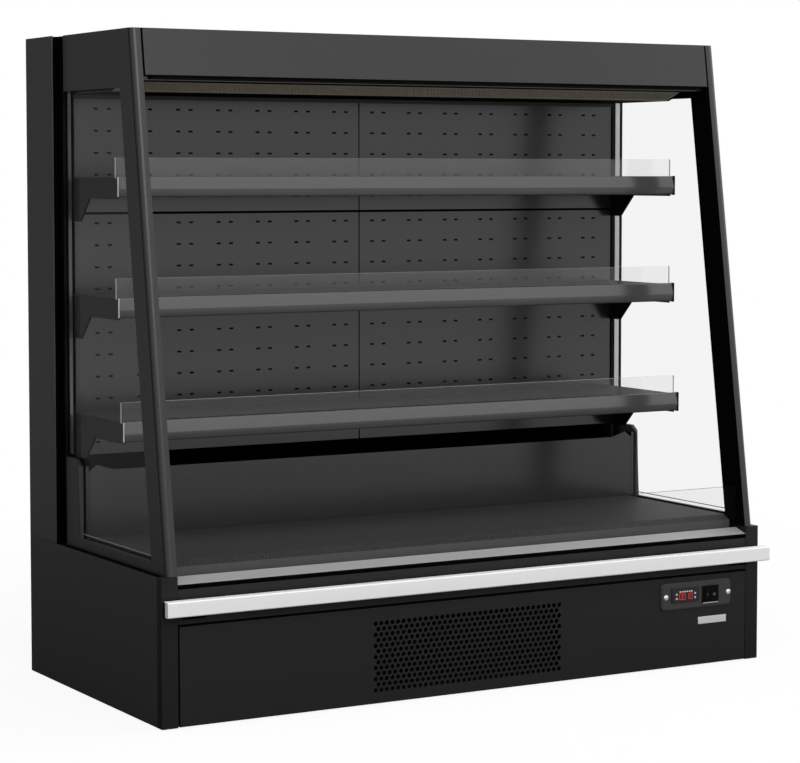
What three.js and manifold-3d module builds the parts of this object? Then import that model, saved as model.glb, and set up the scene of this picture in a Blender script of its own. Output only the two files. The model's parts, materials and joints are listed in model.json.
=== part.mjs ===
// Open multideck display fridge, modelled as the separate pieces it is assembled from.
// Millimetres; +X to the right, +Y to the back, +Z up. Inside the cabinet group y = 0 is the front
// plane of the base and z = 0 is the floor; the exported group is centred over its footprint.

import * as THREE from 'three';
import { mergeVertices } from 'three/addons/utils/BufferGeometryUtils.js';
import Module from 'manifold-3d';

const wasm = await Module();
wasm.setup();

// ---------------------------------------------------------------- driving dimensions

// Overall cabinet
const cabinetWidth = 1500;
const cabinetDepth = 700;
const cabinetHeight = 1410;
const baseHeight = 308;
const fitGap = 0.3; // clearance between neighbouring pieces
const sheet = 1.5; // folded steel sheet
const over = 1; // how far a cutting or joining solid runs past the face that it meets

// End frames and their glass
const endInset = 14.5; // outer face of the end frame, in from the base side
const postWidth = 22.5; // the sloped post is a box section
const frameSheet = 9.5; // the rest of the end frame is a thin tray
const endRear = 522; // rear edge of the end frame
const footSetback = 2; // front edge of the sloped post at its foot
const canopySetback = 166.5; // front edge of the sloped post at the roof
const postDepth = 73;
const windowSill = 22; // height of the bottom rail
const bandHeight = 120; // height of the opaque band under the roof
const stepFront = 450; // front edge of the closed rear foot of the end frame
const stepHeight = 192;
const stepChamferDepth = 24;
const stepChamferHeight = 17;
const paneInset = 15.5; // inner face of the pane, in from the end frame's outer face
const paneThickness = 5.7;
const paneRear = 548.7;

// Base
const floorClearance = 2;
const basePanel = 14.2;
const cornerPostWidth = 36.5;
const cornerPostDepth = 22;
const cornerPostRadius = 4;
const ledgeWidth = 20;
const ledgeThickness = 3;
const lipThickness = 2;
const railWidth = 40;
const railHeight = 30;
const floorSheet = 2;
const footRadius = 18;
const footHeight = 4.3;
const footInset = 55;
const backSheet = 3;
const ventRows = 7;
const ventRowPitch = 18;
const ventHeight = 7;
const ventBottom = 62;
const ventStart = 180; // each bank of vents starts this far from the middle
const ventEndInset = 190; // and ends this far in from the cabinet's side

// Insulated tub under the deck
const tubHeight = 101.4;
const tubFloor = 30;
const tubFrontWall = 38;
const tubRearWall = 56;
const tubSideWall = 45;
const tubFrontDrop = 21; // front wall, below the top of the base
const tubLedgeDrop = 8; // ledge for the deck, below the top of the base

// Insulated rear body
const rearBodyFront = 549;
const rearWall = 60;
const cheekInset = 50; // inner face of the cheek, in from the cabinet's side
const cheekWidth = 27;
const grooveRear = 575; // floor of the groove between a cheek and the outer skin
const skinThickness = 2.5;

// Perforated back panels
const panelSideGap = 14.4; // back panel to pane
const panelFront = 535;
const panelSeam = 1027.4;
const panelSeamGap = 4;
const panelFold = 13.7;
const panelBottom = 499.4;
const centreGap = 1;

// Deck, duct cover and front riser
const deckRise = 22; // deck above the top of the base
const deckSheet = 2;
const deckSideGap = 15; // deck to pane
const deckBend = 74; // where the flat deck turns down into the air grille
const deckFront = 51;
const grilleDrop = 10.5;
const returnSlots = 26;
const returnSlotLength = 40;
const returnSlotWidth = 8;
const ductFront = 452;
const ductRise = 167.3; // cover above the top of the base
const ductTopFold = 22;
const ductSideGap = 7.6; // cover to pane
const ductEarLength = 57.4; // the cover's ends rise in a shallow ear
const ductEarPeakInset = 19.4;
const ductEarRise = 11.7; // peak of the ear above the cover's top
const ductEarFall = 14; // and how far it drops again towards the pane
const deckRiserFront = 40.3;
const deckRiserThickness = 5;
const deckRiserRise = 89; // riser above the top of the base

// Front of the base
const sillDrop = 5; // rear edge of the sill, below the top of the base
const sillSlope = 11; // its front edge is this much lower
const sillDepth = 40;
const sillFold = 4.4;
const fasciaDrop = 26; // top of the fascia, below the top of the base
const fasciaHeight = 71;
const fasciaSetback = 1;
const bumperReach = 38; // how far the bumper stands in front of the base
const bumperThickness = 22;
const bumperHeight = 31.7;
const bumperDrop = 17.6; // top of the bumper, below the top of the fascia
const bumperOverhang = 3; // how far the bumper stands out at each end
const bumperRadius = 3;
const bumperFootWidth = 48;
const bumperFootInset = 68; // middle of the foot, in from the cabinet's side
const bumperFootHeight = 38;
const bumperFootDrop = 8.7; // foot's lower edge, below the bumper's
const frontPanelGap = 5; // dark gap between the front panel and the fascia
const frontPanelBottom = 3;
const frontPanelDepth = 18;
const frontPanelLeftGap = 4;
const frontPanelRightGap = 0.8;

// Intake grille in the front panel
const grilleCentreX = -28.2;
const grilleCentreZ = 102;
const grilleColumns = 18;
const grilleRows = 7;
const grillePitch = 27.17;
const grilleHoleRadius = 10.5;

// Control plate and what it holds
const plateInset = 178.7; // middle of the plate, in from the cabinet's right side
const plateCentreZ = 164.2;
const plateWidth = 194.5;
const plateHeight = 60.4;
const plateThickness = 4.2;
const plateRadius = 12;
const plateChamfer = 2.5;
const plateStep = 2; // depth of the step round the plate
const controllerInset = 211;
const controllerZ = 167.3;
const controllerWidth = 75;
const controllerHeight = 32.8;
const controllerFacia = 3.7;
const controllerBodyWidth = 70;
const controllerBodyHeight = 28.5;
const controllerBodyDepth = 58;
const cutoutClearance = 0.5;
const cutoutMargin = 3; // window in the front panel, round the two bodies behind the plate
const keyOffsetX = 25.5;
const keyOffsetZ = 4.9;
const keyDrop = 3; // the keys sit a little below the middle of the facia
const keyRadius = 2.5;
const keyLength = 2.8;
const keyProud = 0.8;
const keyWellDepth = 3;
const keyWellClearance = 0.25;
const switchInset = 140.8;
const switchZ = 163;
const switchWidth = 44.8;
const switchHeight = 39.5;
const switchFlange = 3.2;
const switchBodyWidth = 41.5;
const switchBodyHeight = 34;
const switchBodyDepth = 24;
const switchWall = 1.9;
const switchBack = 4; // wall behind the rocker's well
const rockerHalfWidth = 17;
const rockerTravel = 20; // degrees from one side to the other
const rockerCrest = 6; // centre of the rocker's face, in front of its pivot
const rockerBack = 5;
const rockerTaper = 7; // the rocker narrows this much on each side behind its pivot

// Canopy
const headerHeight = 98;
const headerSheet = 2;
const headerTopFold = 30;
const headerBottomFold = 12;
const headerLeftGap = 3.5;
const headerRightGap = 0.5;
const roofSheet = 2;
const roofFold = 10;
const linerSheet = 2;
const canopyRearDepth = 125; // underside of the canopy below the roof, at the back panels
const canopyFrontDepth = 106; // and behind the header
const linerFront = 176;
const linerTopFold = 20;
const lampGap = 2; // lamp above the liner
const honeycombLift = 0.1;
const outletFront = 263;
const outletRear = 316;
const outletSideGap = 7.7;
const honeycombThickness = 12;
const honeycombCells = 26;
const honeycombWeb = 6;
const lampDepth = 9;
const lampHeight = 10;
const lampInset = 60;

// Shelves, from the top one down
const shelfTops = [1107.6, 854.8, 596.2];
const shelfFronts = [282.3, 282.3, 261.7];
const priceRailHeight = 43;
const priceRailDepth = 10;
const priceRailSideGap = 8.3; // rail to pane
const priceRailCrease = 17; // height of the bend above the rail's lower edge
const priceRailLip = 3; // flat strip along the rail's top and bottom
const trayDrop = 2; // tray surface below the top of the price rail
const trayHeight = 30;
const trayClearance = 2; // bracket below the tray surface, and behind the price rail
const riserHeight = 39.5;
const riserThickness = 5;
const riserSetback = 16;
const riserSideGap = 8;
const riserRebate = 2; // the riser stands in a shallow step along the front of the tray
const bracketThickness = 5;
const bracketArmDrop = 4;
const bracketDeepDrop = 54;
const bracketStepSetback = 160;
const bracketStepRun = 52;

// Condensing unit in the base
const coilWidth = 460;
const coilDepth = 60;
const coilHeight = 139;
const coilFront = 30;
const finPitch = 20;
const finGap = 7;
const finGapDepth = 14;
const finFrame = 6; // solid header above and below the fins
const bendRatio = 0.3; // radius of a return bend over the pitch of the bends
const tubeRadius = 4;
const bendCount = 3;
const fanRadius = 58;
const fanHubRadius = 20;
const fanHubLength = 20;
const fanBlades = 5;
const fanBladeChord = 32;
const fanBladeThickness = 2;
const fanBladePitch = 35; // degrees
const fanTipClearance = 3;
const fanRingWall = 3;
const fanRingDepth = 38;
const fanRingLead = 14; // the ring starts this far in front of the hub
const fanMotorRadius = 22;
const fanMotorLength = 32;
const fanSpokeWidth = 8;
const fanSpokeDepth = 4;
const fanShaftRadius = 3;
const fanShaftLength = 12;
const shroudSheet = 2;
const compressorX = 330;
const compressorY = 330;
const compressorRadius = 78;
const compressorHeight = 145;
const compressorPlate = 3;
const compressorPlateLength = 187;
const compressorPlateWidth = 140;
const controlBoxInset = 60;
const controlBoxWidth = 210;
const controlBoxFront = 80;
const controlBoxRear = 200;
const controlBoxHeight = 140;

// Evaporator in the tub
const evaporatorEndSpace = 130;
const evaporatorDepth = 100;
const evaporatorHeight = 75;
const evaporatorRear = 430;
const fanPlateY = 230;
const fanPlateEndSpace = 10;
const evaporatorFanRadius = 36;
const evaporatorFanHub = 14;
const evaporatorFanOffset = 300;
const evaporatorFanDrop = 28; // middle of the fans, below the top of the base

// ---------------------------------------------------------------- places worked out from them

const halfWidth = cabinetWidth / 2;
const endOuter = halfWidth - endInset;
const endInner = endOuter - postWidth;
const postInner = halfWidth - cornerPostWidth;
const paneInner = endOuter - paneInset;
const cheekInner = halfWidth - cheekInset;
const cheekOuter = cheekInner + cheekWidth;
const panelHalfWidth = paneInner - panelSideGap;
const deckHalfWidth = paneInner - deckSideGap;
const ductHalfWidth = paneInner - ductSideGap;
const ductEarStart = ductHalfWidth - ductEarLength;
const ductEarPeak = ductHalfWidth - ductEarPeakInset;
const bumperHalfLength = halfWidth + bumperOverhang;
const bumperFootCentre = halfWidth - bumperFootInset;
const plateCentreX = halfWidth - plateInset;
const controllerX = halfWidth - controllerInset;
const switchX = halfWidth - switchInset;
const priceRailHalf = paneInner - priceRailSideGap;
const riserHalf = paneInner - riserSideGap;
const controlBoxRight = halfWidth - controlBoxInset;
const controlBoxLeft = controlBoxRight - controlBoxWidth;
const tubBottom = baseHeight - tubHeight;
const tubFrontTop = baseHeight - tubFrontDrop;
const tubLedge = baseHeight - tubLedgeDrop;
const deckTop = baseHeight + deckRise;
const deckRiserTop = baseHeight + deckRiserRise;
const ductTop = baseHeight + ductRise;
const ductEarTop = ductTop + ductEarRise;
const ductEarEnd = ductEarTop - ductEarFall;
const sillTop = baseHeight - sillDrop;
const sillFront = sillTop - sillSlope;
const fasciaTop = baseHeight - fasciaDrop;
const fasciaBottom = fasciaTop - fasciaHeight;
const bumperTop = fasciaTop - bumperDrop;
const bumperBottom = bumperTop - bumperHeight;
const bumperFootBottom = bumperBottom - bumperFootDrop;
const frontPanelTop = fasciaBottom - frontPanelGap;
const evaporatorFanZ = baseHeight - evaporatorFanDrop;
const headerBottom = cabinetHeight - headerHeight;
const linerLow = cabinetHeight - canopyRearDepth;
const linerHigh = cabinetHeight - canopyFrontDepth;
const panelTop = linerLow - 0.5;
const frameFoot = baseHeight + fitGap;
const frontSlope = (canopySetback - footSetback) / (cabinetHeight - frameFoot);
const frontAt = (z) => footSetback + (z - frameFoot) * frontSlope;
const postRearAt = (z) => frontAt(z) + postDepth;
const windowBottom = baseHeight + windowSill;
const windowTop = cabinetHeight - bandHeight;
const insideX = endInner - fitGap;
const baseInner = halfWidth - basePanel;
const bodyFront = cornerPostDepth + fitGap;
const bodyRear = cabinetDepth - backSheet - fitGap;
const tubHalfWidth = baseInner - 2 * fitGap;
const tubCavityHalf = tubHalfWidth - tubSideWall;
const evaporatorWidth = 2 * (tubCavityHalf - evaporatorEndSpace);
const fanPlateHalfWidth = tubCavityHalf - fanPlateEndSpace;
const floorTop = footHeight + railHeight + floorSheet;
const seatZ = floorTop + fitGap;
const rearWallFront = cabinetDepth - rearWall;
const bracketRear = rearBodyFront - fitGap;
const linerHalf = paneInner - fitGap;
const outletHalfLength = linerHalf - outletSideGap;
const lampHalf = halfWidth - lampInset;
const paneOuter = paneInner + paneThickness;
const notchRear = canopySetback + postDepth + over; // behind the sloped post at roof height
const plateFront = -fitGap - plateThickness;
const trimY = plateFront - fitGap;
const rockerPivotY = trimY - switchFlange + rockerCrest - 1;
const degrees = Math.PI / 180;
const sides = [
	{ name: 'left', sign: -1 },
	{ name: 'right', sign: 1 },
];

// ---------------------------------------------------------------- finishes

const finishes = {
	blackCoat: { color: 0x2e2e2e, roughness: 0.42, metalness: 0.15 },
	innerCoat: { color: 0x3c3c3c, roughness: 0.45, metalness: 0.1 },
	sillSteel: { color: 0x8c9191, roughness: 0.35, metalness: 0.6 },
	bumperAluminium: { color: 0xe2e2e2, roughness: 0.25, metalness: 0.85 },
	railGrey: { color: 0x5a5a5a, roughness: 0.4, metalness: 0 },
	clearPane: { color: 0xdfe6e4, roughness: 0.05, metalness: 0, transparent: true, opacity: 0.25 },
	honeycombGrey: { color: 0x4a463f, roughness: 0.7, metalness: 0 },
	controlGrey: { color: 0x454545, roughness: 0.5, metalness: 0.2 },
	glossBlack: { color: 0x101012, roughness: 0.15, metalness: 0 },
	keyWhite: { color: 0xd8dce0, roughness: 0.4, metalness: 0 },
	mattBlack: { color: 0x161616, roughness: 0.6, metalness: 0 },
	zincSteel: { color: 0x9a9d9e, roughness: 0.45, metalness: 0.7 },
	foamBody: { color: 0x343434, roughness: 0.45, metalness: 0.1 },
	coilAluminium: { color: 0xb9bcbe, roughness: 0.4, metalness: 0.7 },
	lampWhite: { color: 0xe8e8e2, roughness: 0.5, metalness: 0 },
};

// ---------------------------------------------------------------- geometry helpers

const toSolid = (geometry) => {
	const bare = geometry.clone();
	bare.deleteAttribute('normal');
	bare.deleteAttribute('uv');
	const merged = mergeVertices(bare, 1e-4);
	return new wasm.Manifold(new wasm.Mesh({
		numProp: 3,
		vertProperties: merged.attributes.position.array,
		triVerts: new Uint32Array(merged.index.array),
	}));
};

const toGeometry = (solid) => {
	const mesh = solid.getMesh();
	const geometry = new THREE.BufferGeometry();
	geometry.setAttribute('position', new THREE.BufferAttribute(mesh.vertProperties, 3));
	geometry.setIndex(new THREE.BufferAttribute(mesh.triVerts, 1));
	geometry.computeVertexNormals();
	return geometry;
};

const join = (pieces) => toGeometry(pieces.map(toSolid).reduce((whole, piece) => whole.add(piece)));

const cut = (body, tools) => {
	const tool = tools.map(toSolid).reduce((whole, piece) => whole.add(piece));
	return toGeometry(toSolid(body).subtract(tool));
};

// Moves every vertex of a geometry to the point that place() gives for it.
const replaced = (geometry, place) => {
	const { position } = geometry.attributes;
	for (let i = 0; i < position.count; i += 1) {
		position.setXYZ(i, ...place(position.getX(i), position.getY(i), position.getZ(i)));
	}
	geometry.computeVertexNormals();
	return geometry;
};

// A box between two corners, whose faces lie exactly where they are given.
const box = (low, high) => replaced(
	new THREE.BoxGeometry(1, 1, 1),
	(...unit) => unit.map((value, axis) => (value > 0 ? high[axis] : low[axis])),
);

const shapeOf = (points) => new THREE.Shape(points.map(([u, v]) => new THREE.Vector2(u, v)));

// Extrudes an outline between two exact end planes; place() turns it onto its axis.
const extruded = (outline, start, end, place) => {
	const shape = outline instanceof THREE.Shape ? outline : shapeOf(outline);
	const solid = new THREE.ExtrudeGeometry(shape, { depth: 1, bevelEnabled: false, curveSegments: 5 });
	return replaced(solid, (u, v, w) => place(u, v, w > 0.5 ? end : start));
};

// An outline of [y, z] points along X, of [x, z] points along Y, and of [x, y] points along Z.
const alongX = (outline, x0, x1) => extruded(outline, x0, x1, (u, v, w) => [w, u, v]);
const alongY = (outline, y0, y1) => extruded(outline, y1, y0, (u, v, w) => [u, w, v]);
const alongZ = (outline, z0, z1) => extruded(outline, z0, z1, (u, v, w) => [u, v, w]);

// A cylinder on the Y axis through [x, z], from y0 to y1.
const drum = (radius, x, z, y0, y1, faces) =>
	new THREE.CylinderGeometry(radius, radius, y1 - y0, faces).translate(x, (y0 + y1) / 2, z);

// Mirrors an outline's first coordinate for the left-hand side.
const handed = (points, sign) => points.map(([x, v]) => [x * sign, v]);

// Low and high X of a span given on the right-hand side.
const spanX = (sign, near, far) => (sign > 0 ? [near, far] : [-far, -near]);

// ---------------------------------------------------------------- assembly

const cabinet = new THREE.Group();
cabinet.position.y = (bumperReach - cabinetDepth) / 2;

const add = (name, geometry, finish) => {
	const mesh = new THREE.Mesh(geometry, new THREE.MeshStandardMaterial(finish));
	mesh.name = name;
	cabinet.add(mesh);
	return mesh;
};

// ---------------------------------------------------------------- base

// Welded frame of square rails with a floor sheet and four levelling feet.
function addChassis() {
	const top = footHeight + railHeight;
	const half = baseInner - fitGap;
	const pieces = [
		box([-half, bodyFront, top], [half, bodyRear, floorTop]),
		box([-half, bodyFront, footHeight], [half, bodyFront + railWidth, top]),
		box([-half, bodyRear - railWidth, footHeight], [half, bodyRear, top]),
	];
	for (const { sign } of sides) {
		const [low, high] = spanX(sign, half - railWidth, half);
		pieces.push(box([low, bodyFront, footHeight], [high, bodyRear, top]));
		for (const y of [bodyFront + railWidth / 2, bodyRear - railWidth / 2]) {
			const foot = new THREE.CylinderGeometry(footRadius, footRadius, footHeight + over, 16);
			foot.rotateX(Math.PI / 2).translate(sign * (half - footInset), y, (footHeight + over) / 2);
			pieces.push(foot);
		}
	}
	add('base_chassis', join(pieces), finishes.zincSteel);
}

// Side panel with a ledge for the tub and a lip under the chassis rail.
function addBaseSide({ name, sign }) {
	const edge = baseInner - ledgeWidth;
	const ledgeTop = tubBottom - fitGap;
	const bar = (near, far, z0, z1, rear) => {
		const [low, high] = spanX(sign, near, far);
		return box([low, bodyFront, z0], [high, rear, z1]);
	};
	add(`base_side_${name}`, join([
		bar(baseInner, halfWidth, floorClearance, baseHeight, cabinetDepth),
		bar(edge, baseInner + over, ledgeTop - ledgeThickness, ledgeTop, bodyRear),
		bar(edge, baseInner + over, floorClearance, floorClearance + lipThickness, bodyRear),
	]), finishes.blackCoat);
}

// Corner post with a rounded outer front edge.
function addCornerPost({ name, sign }) {
	const outline = new THREE.Shape();
	outline.moveTo(sign * postInner, 0);
	outline.lineTo(sign * (halfWidth - cornerPostRadius), 0);
	outline.quadraticCurveTo(sign * halfWidth, 0, sign * halfWidth, cornerPostRadius);
	outline.lineTo(sign * halfWidth, cornerPostDepth);
	outline.lineTo(sign * postInner, cornerPostDepth);
	outline.closePath();
	add(`corner_post_${name}`, alongZ(outline, floorClearance, baseHeight), finishes.blackCoat);
}

// Rear cover of the machine compartment, with two banks of vent slots.
function addBaseBack() {
	const half = baseInner - fitGap;
	const slots = [];
	for (const { sign } of sides) {
		const [low, high] = spanX(sign, ventStart, halfWidth - ventEndInset);
		for (let row = 0; row < ventRows; row += 1) {
			const z = ventBottom + row * ventRowPitch;
			slots.push(box([low, bodyRear, z], [high, cabinetDepth + over, z + ventHeight]));
		}
	}
	const cover = box([-half, cabinetDepth - backSheet, floorClearance], [half, cabinetDepth, baseHeight]);
	add('base_back_cover', cut(cover, slots), finishes.blackCoat);
}

// Front panel folded from sheet, with the intake grille and the window for the controls.
function addFrontPanel() {
	const left = -postInner + frontPanelLeftGap;
	const right = postInner - frontPanelRightGap;
	const windowLeft = controllerX - controllerBodyWidth / 2 - cutoutMargin;
	const windowRight = switchX + switchBodyWidth / 2 + cutoutMargin;
	const windowHalfHeight = switchBodyHeight / 2 + cutoutMargin;
	const tools = [
		box(
			[left + sheet, sheet, frontPanelBottom + sheet],
			[right - sheet, frontPanelDepth + over, frontPanelTop - sheet],
		),
		box(
			[windowLeft, -over, switchZ - windowHalfHeight],
			[windowRight, sheet + over, switchZ + windowHalfHeight],
		),
	];
	const rowPitch = grillePitch * Math.sin(60 * degrees);
	for (let row = 0; row < grilleRows; row += 1) {
		const columns = grilleColumns - (row % 2);
		const z = grilleCentreZ + (row - (grilleRows - 1) / 2) * rowPitch;
		for (let column = 0; column < columns; column += 1) {
			const x = grilleCentreX + (column - (columns - 1) / 2) * grillePitch;
			tools.push(drum(grilleHoleRadius, x, z, -over, sheet + over, 6));
		}
	}
	const blank = box([left, 0, frontPanelBottom], [right, frontPanelDepth, frontPanelTop]);
	add('front_panel', cut(blank, tools), finishes.blackCoat);
}

// Folded fascia behind the bumper, with the two feet that carry the bumper.
function addFascia() {
	const half = postInner - fitGap;
	const front = fasciaSetback;
	const rear = bodyFront - fitGap;
	const pieces = [
		alongX([
			[front, fasciaBottom],
			[front, fasciaTop],
			[rear, fasciaTop],
			[rear, fasciaTop - sheet],
			[front + sheet, fasciaTop - sheet],
			[front + sheet, fasciaBottom + sheet],
			[rear, fasciaBottom + sheet],
			[rear, fasciaBottom],
		], -half, half),
	];
	for (const { sign } of sides) {
		const near = bumperFootCentre - bumperFootWidth / 2;
		const [low, high] = spanX(sign, near, near + bumperFootWidth);
		const footFront = bumperThickness - bumperReach + fitGap;
		pieces.push(box(
			[low, footFront, bumperFootBottom],
			[high, front + sheet, bumperFootBottom + bumperFootHeight],
		));
	}
	add('front_fascia', join(pieces), finishes.blackCoat);
}

// Rounded bumper bar across the front.
function addBumper() {
	const y0 = -bumperReach;
	const y1 = bumperThickness - bumperReach;
	const z0 = bumperBottom;
	const z1 = bumperTop;
	const r = bumperRadius;
	const outline = new THREE.Shape();
	outline.moveTo(y0 + r, z0);
	outline.lineTo(y1, z0);
	outline.lineTo(y1, z1);
	outline.lineTo(y0 + r, z1);
	outline.quadraticCurveTo(y0, z1, y0, z1 - r);
	outline.lineTo(y0, z0 + r);
	outline.quadraticCurveTo(y0, z0, y0 + r, z0);
	add('bumper_rail', alongX(outline, -bumperHalfLength, bumperHalfLength), finishes.bumperAluminium);
}

// Sloping steel sill in front of the deck.
function addSill() {
	const half = postInner - fitGap;
	const back = tubFrontTop + 2 * fitGap;
	const low = sillFront - sillFold;
	add('front_sill', alongX([
		[0, low],
		[0, sillFront],
		[sillDepth - 2 * sheet, sillTop],
		[sillDepth - 2 * sheet, back],
		[sillDepth - 3 * sheet, back],
		[sillDepth - 3 * sheet, sillTop - 2 * sheet],
		[sheet, sillFront - sheet],
		[sheet, low],
	], -half, half), finishes.sillSteel);
}

// ---------------------------------------------------------------- insulated tub and rear body

// Foam-filled tub under the deck, open at the top, with a ledge for the deck.
function addTub() {
	const ledgeHalf = postInner - fitGap;
	const cavityFront = bodyFront + tubFrontWall;
	const cavityRear = bodyRear - tubRearWall;
	const above = baseHeight + over;
	const blank = box([-tubHalfWidth, bodyFront, tubBottom], [tubHalfWidth, bodyRear, baseHeight]);
	const tub = cut(blank, [
		box([-tubCavityHalf, cavityFront, tubBottom + tubFloor], [tubCavityHalf, cavityRear, above]),
		box([-ledgeHalf, cavityFront, tubLedge], [ledgeHalf, cavityRear, above]),
		box([-ledgeHalf, bodyFront - over, tubFrontTop], [ledgeHalf, cavityFront + over, above]),
	]);
	add('insulated_tub', tub, finishes.foamBody);
}

// Foam-filled rear wall with side cheeks and a thin outer skin standing forward of them.
function addRearBody() {
	const half = [
		[cheekInner, rearWallFront],
		[cheekInner, rearBodyFront],
		[cheekOuter, rearBodyFront],
		[cheekOuter, grooveRear],
		[halfWidth - skinThickness, grooveRear],
		[halfWidth - skinThickness, rearBodyFront],
		[halfWidth, rearBodyFront],
		[halfWidth, cabinetDepth],
	];
	const outline = [...half, ...handed(half, -1).reverse()];
	add('insulated_rear_body', alongZ(outline, baseHeight + fitGap, cabinetHeight), finishes.foamBody);
}

// Back panel folded from sheet on all four sides; its outer fold rests on the rear body's cheek.
function addBackPanel(level, { name, sign }, bottom, top) {
	const [low, high] = spanX(sign, centreGap, panelHalfWidth);
	const rear = panelFront + panelFold;
	const panel = cut(box([low, panelFront, bottom], [high, rear, top]), [
		box([low + sheet, panelFront + sheet, bottom + sheet], [high - sheet, rear + over, top - sheet]),
	]);
	add(`back_panel_${level}_${name}`, panel, finishes.innerCoat);
}

// Cover of the air duct behind the deck, folded back at the top between its two ears.
function addDuctCover() {
	const bottom = tubLedge + fitGap;
	const half = [
		[ductHalfWidth, bottom],
		[ductHalfWidth, ductEarEnd],
		[ductEarPeak, ductEarTop],
		[ductEarStart, ductTop],
	];
	const face = [...half, ...handed(half, -1).reverse()];
	const rear = ductFront + ductTopFold;
	add('duct_cover', join([
		alongY(face, ductFront, ductFront + sheet),
		box([-ductEarStart, ductFront, ductTop - sheet], [ductEarStart, rear, ductTop]),
	]), finishes.innerCoat);
}

// ---------------------------------------------------------------- deck

// Deck pan: flat bottom shelf, sloping return-air grille and a front fold, on two side folds.
function addDeck() {
	const rear = ductFront - fitGap;
	const foldBottom = tubLedge + fitGap;
	const half = deckHalfWidth;
	const bendZ = deckTop - grilleDrop;
	const pieces = [
		alongX([
			[rear, deckTop],
			[deckBend, deckTop],
			[deckFront, bendZ],
			[deckFront, foldBottom],
			[deckFront + deckSheet, foldBottom],
			[deckFront + deckSheet, bendZ - deckSheet / 2],
			[deckBend + deckSheet / 4, deckTop - deckSheet],
			[rear, deckTop - deckSheet],
		], -half, half),
	];
	for (const { sign } of sides) {
		const [low, high] = spanX(sign, half - deckSheet, half);
		pieces.push(box([low, deckBend + over, foldBottom], [high, rear, deckTop - over]));
	}
	const pitch = (2 * half - 2 * returnSlotLength) / (returnSlots - 1);
	const slotY = (deckFront + deckBend) / 2;
	const slots = [];
	for (let slot = 0; slot < returnSlots; slot += 1) {
		const x = -half + returnSlotLength + slot * pitch;
		slots.push(box(
			[x - returnSlotLength / 2, slotY - returnSlotWidth / 2, bendZ - deckSheet],
			[x + returnSlotLength / 2, slotY + returnSlotWidth / 2, deckTop],
		));
	}
	add('deck_pan', cut(join(pieces), slots), finishes.innerCoat);
}

// Clear riser that keeps goods off the front edge of the deck.
function addDeckRiser() {
	const low = tubFrontTop + fitGap;
	const front = deckRiserFront;
	const pane = box([-insideX, front, low], [insideX, front + deckRiserThickness, deckRiserTop]);
	add('deck_riser', pane, finishes.clearPane);
}

// ---------------------------------------------------------------- end frames

// Opaque surround of one glazed end: sloped post, top band, bottom rail and closed rear foot.
function addEndFrame({ name, sign }) {
	const stepTop = baseHeight + stepHeight;
	const front = [
		[frontAt(frameFoot), frameFoot],
		[frontAt(cabinetHeight), cabinetHeight],
	];
	const post = [...front, [postRearAt(cabinetHeight), cabinetHeight], [postRearAt(frameFoot), frameFoot]];
	const surround = [
		...front,
		[endRear, cabinetHeight],
		[endRear, windowTop],
		[postRearAt(windowTop), windowTop],
		[postRearAt(windowBottom), windowBottom],
		[stepFront, windowBottom],
		[stepFront, stepTop - stepChamferHeight],
		[stepFront + stepChamferDepth, stepTop],
		[endRear, stepTop],
		[endRear, frameFoot],
	];
	add(`end_frame_${name}`, join([
		alongX(surround, ...spanX(sign, endOuter - frameSheet, endOuter)),
		alongX(post, ...spanX(sign, endInner, endOuter)),
	]), finishes.blackCoat);
}

// Clear pane on the inner side of the end frame, from the sloped post to the rear body.
function addEndGlass({ name, sign }) {
	const low = frameFoot;
	const high = cabinetHeight - roofFold - fitGap;
	const outline = [
		[postRearAt(low) + 2 * fitGap, low],
		[postRearAt(high) + 2 * fitGap, high],
		[paneRear, high],
		[paneRear, low],
	];
	const pane = alongX(outline, ...spanX(sign, paneInner, paneOuter));
	add(`end_glass_${name}`, pane, finishes.clearPane);
}

// ---------------------------------------------------------------- canopy

// Sloped header panel between the end frames, folded back at the top and bottom.
function addHeader() {
	const skin = headerSheet * Math.hypot(1, frontSlope);
	const top = cabinetHeight;
	const bottom = headerBottom;
	const outline = [
		[frontAt(bottom), bottom],
		[frontAt(top), top],
		[frontAt(top) + headerTopFold, top],
		[frontAt(top) + headerTopFold, top - headerSheet],
		[frontAt(top - headerSheet) + skin, top - headerSheet],
		[frontAt(bottom + headerSheet) + skin, bottom + headerSheet],
		[frontAt(bottom) + headerBottomFold, bottom + headerSheet],
		[frontAt(bottom) + headerBottomFold, bottom],
	];
	const panel = alongX(outline, headerLeftGap - endInner, endInner - headerRightGap);
	add('header_panel', panel, finishes.blackCoat);
}

// Roof sheet between the header, the end frames and the rear body, folded down onto the panes.
function addRoof() {
	const front = canopySetback + headerTopFold + fitGap;
	const rearHalf = cheekInner - fitGap;
	const right = [
		[insideX, front],
		[insideX, notchRear],
		[paneOuter, notchRear],
		[paneOuter, paneRear],
		[rearHalf, paneRear],
		[rearHalf, rearWallFront - fitGap],
	];
	const outline = [...right, ...handed(right, -1).reverse()];
	const pieces = [alongZ(outline, cabinetHeight - roofSheet, cabinetHeight)];
	for (const { sign } of sides) {
		const [low, high] = spanX(sign, paneOuter - roofSheet, paneOuter);
		pieces.push(box([low, notchRear, cabinetHeight - roofFold], [high, paneRear, cabinetHeight]));
	}
	add('roof_panel', join(pieces), finishes.blackCoat);
}

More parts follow.
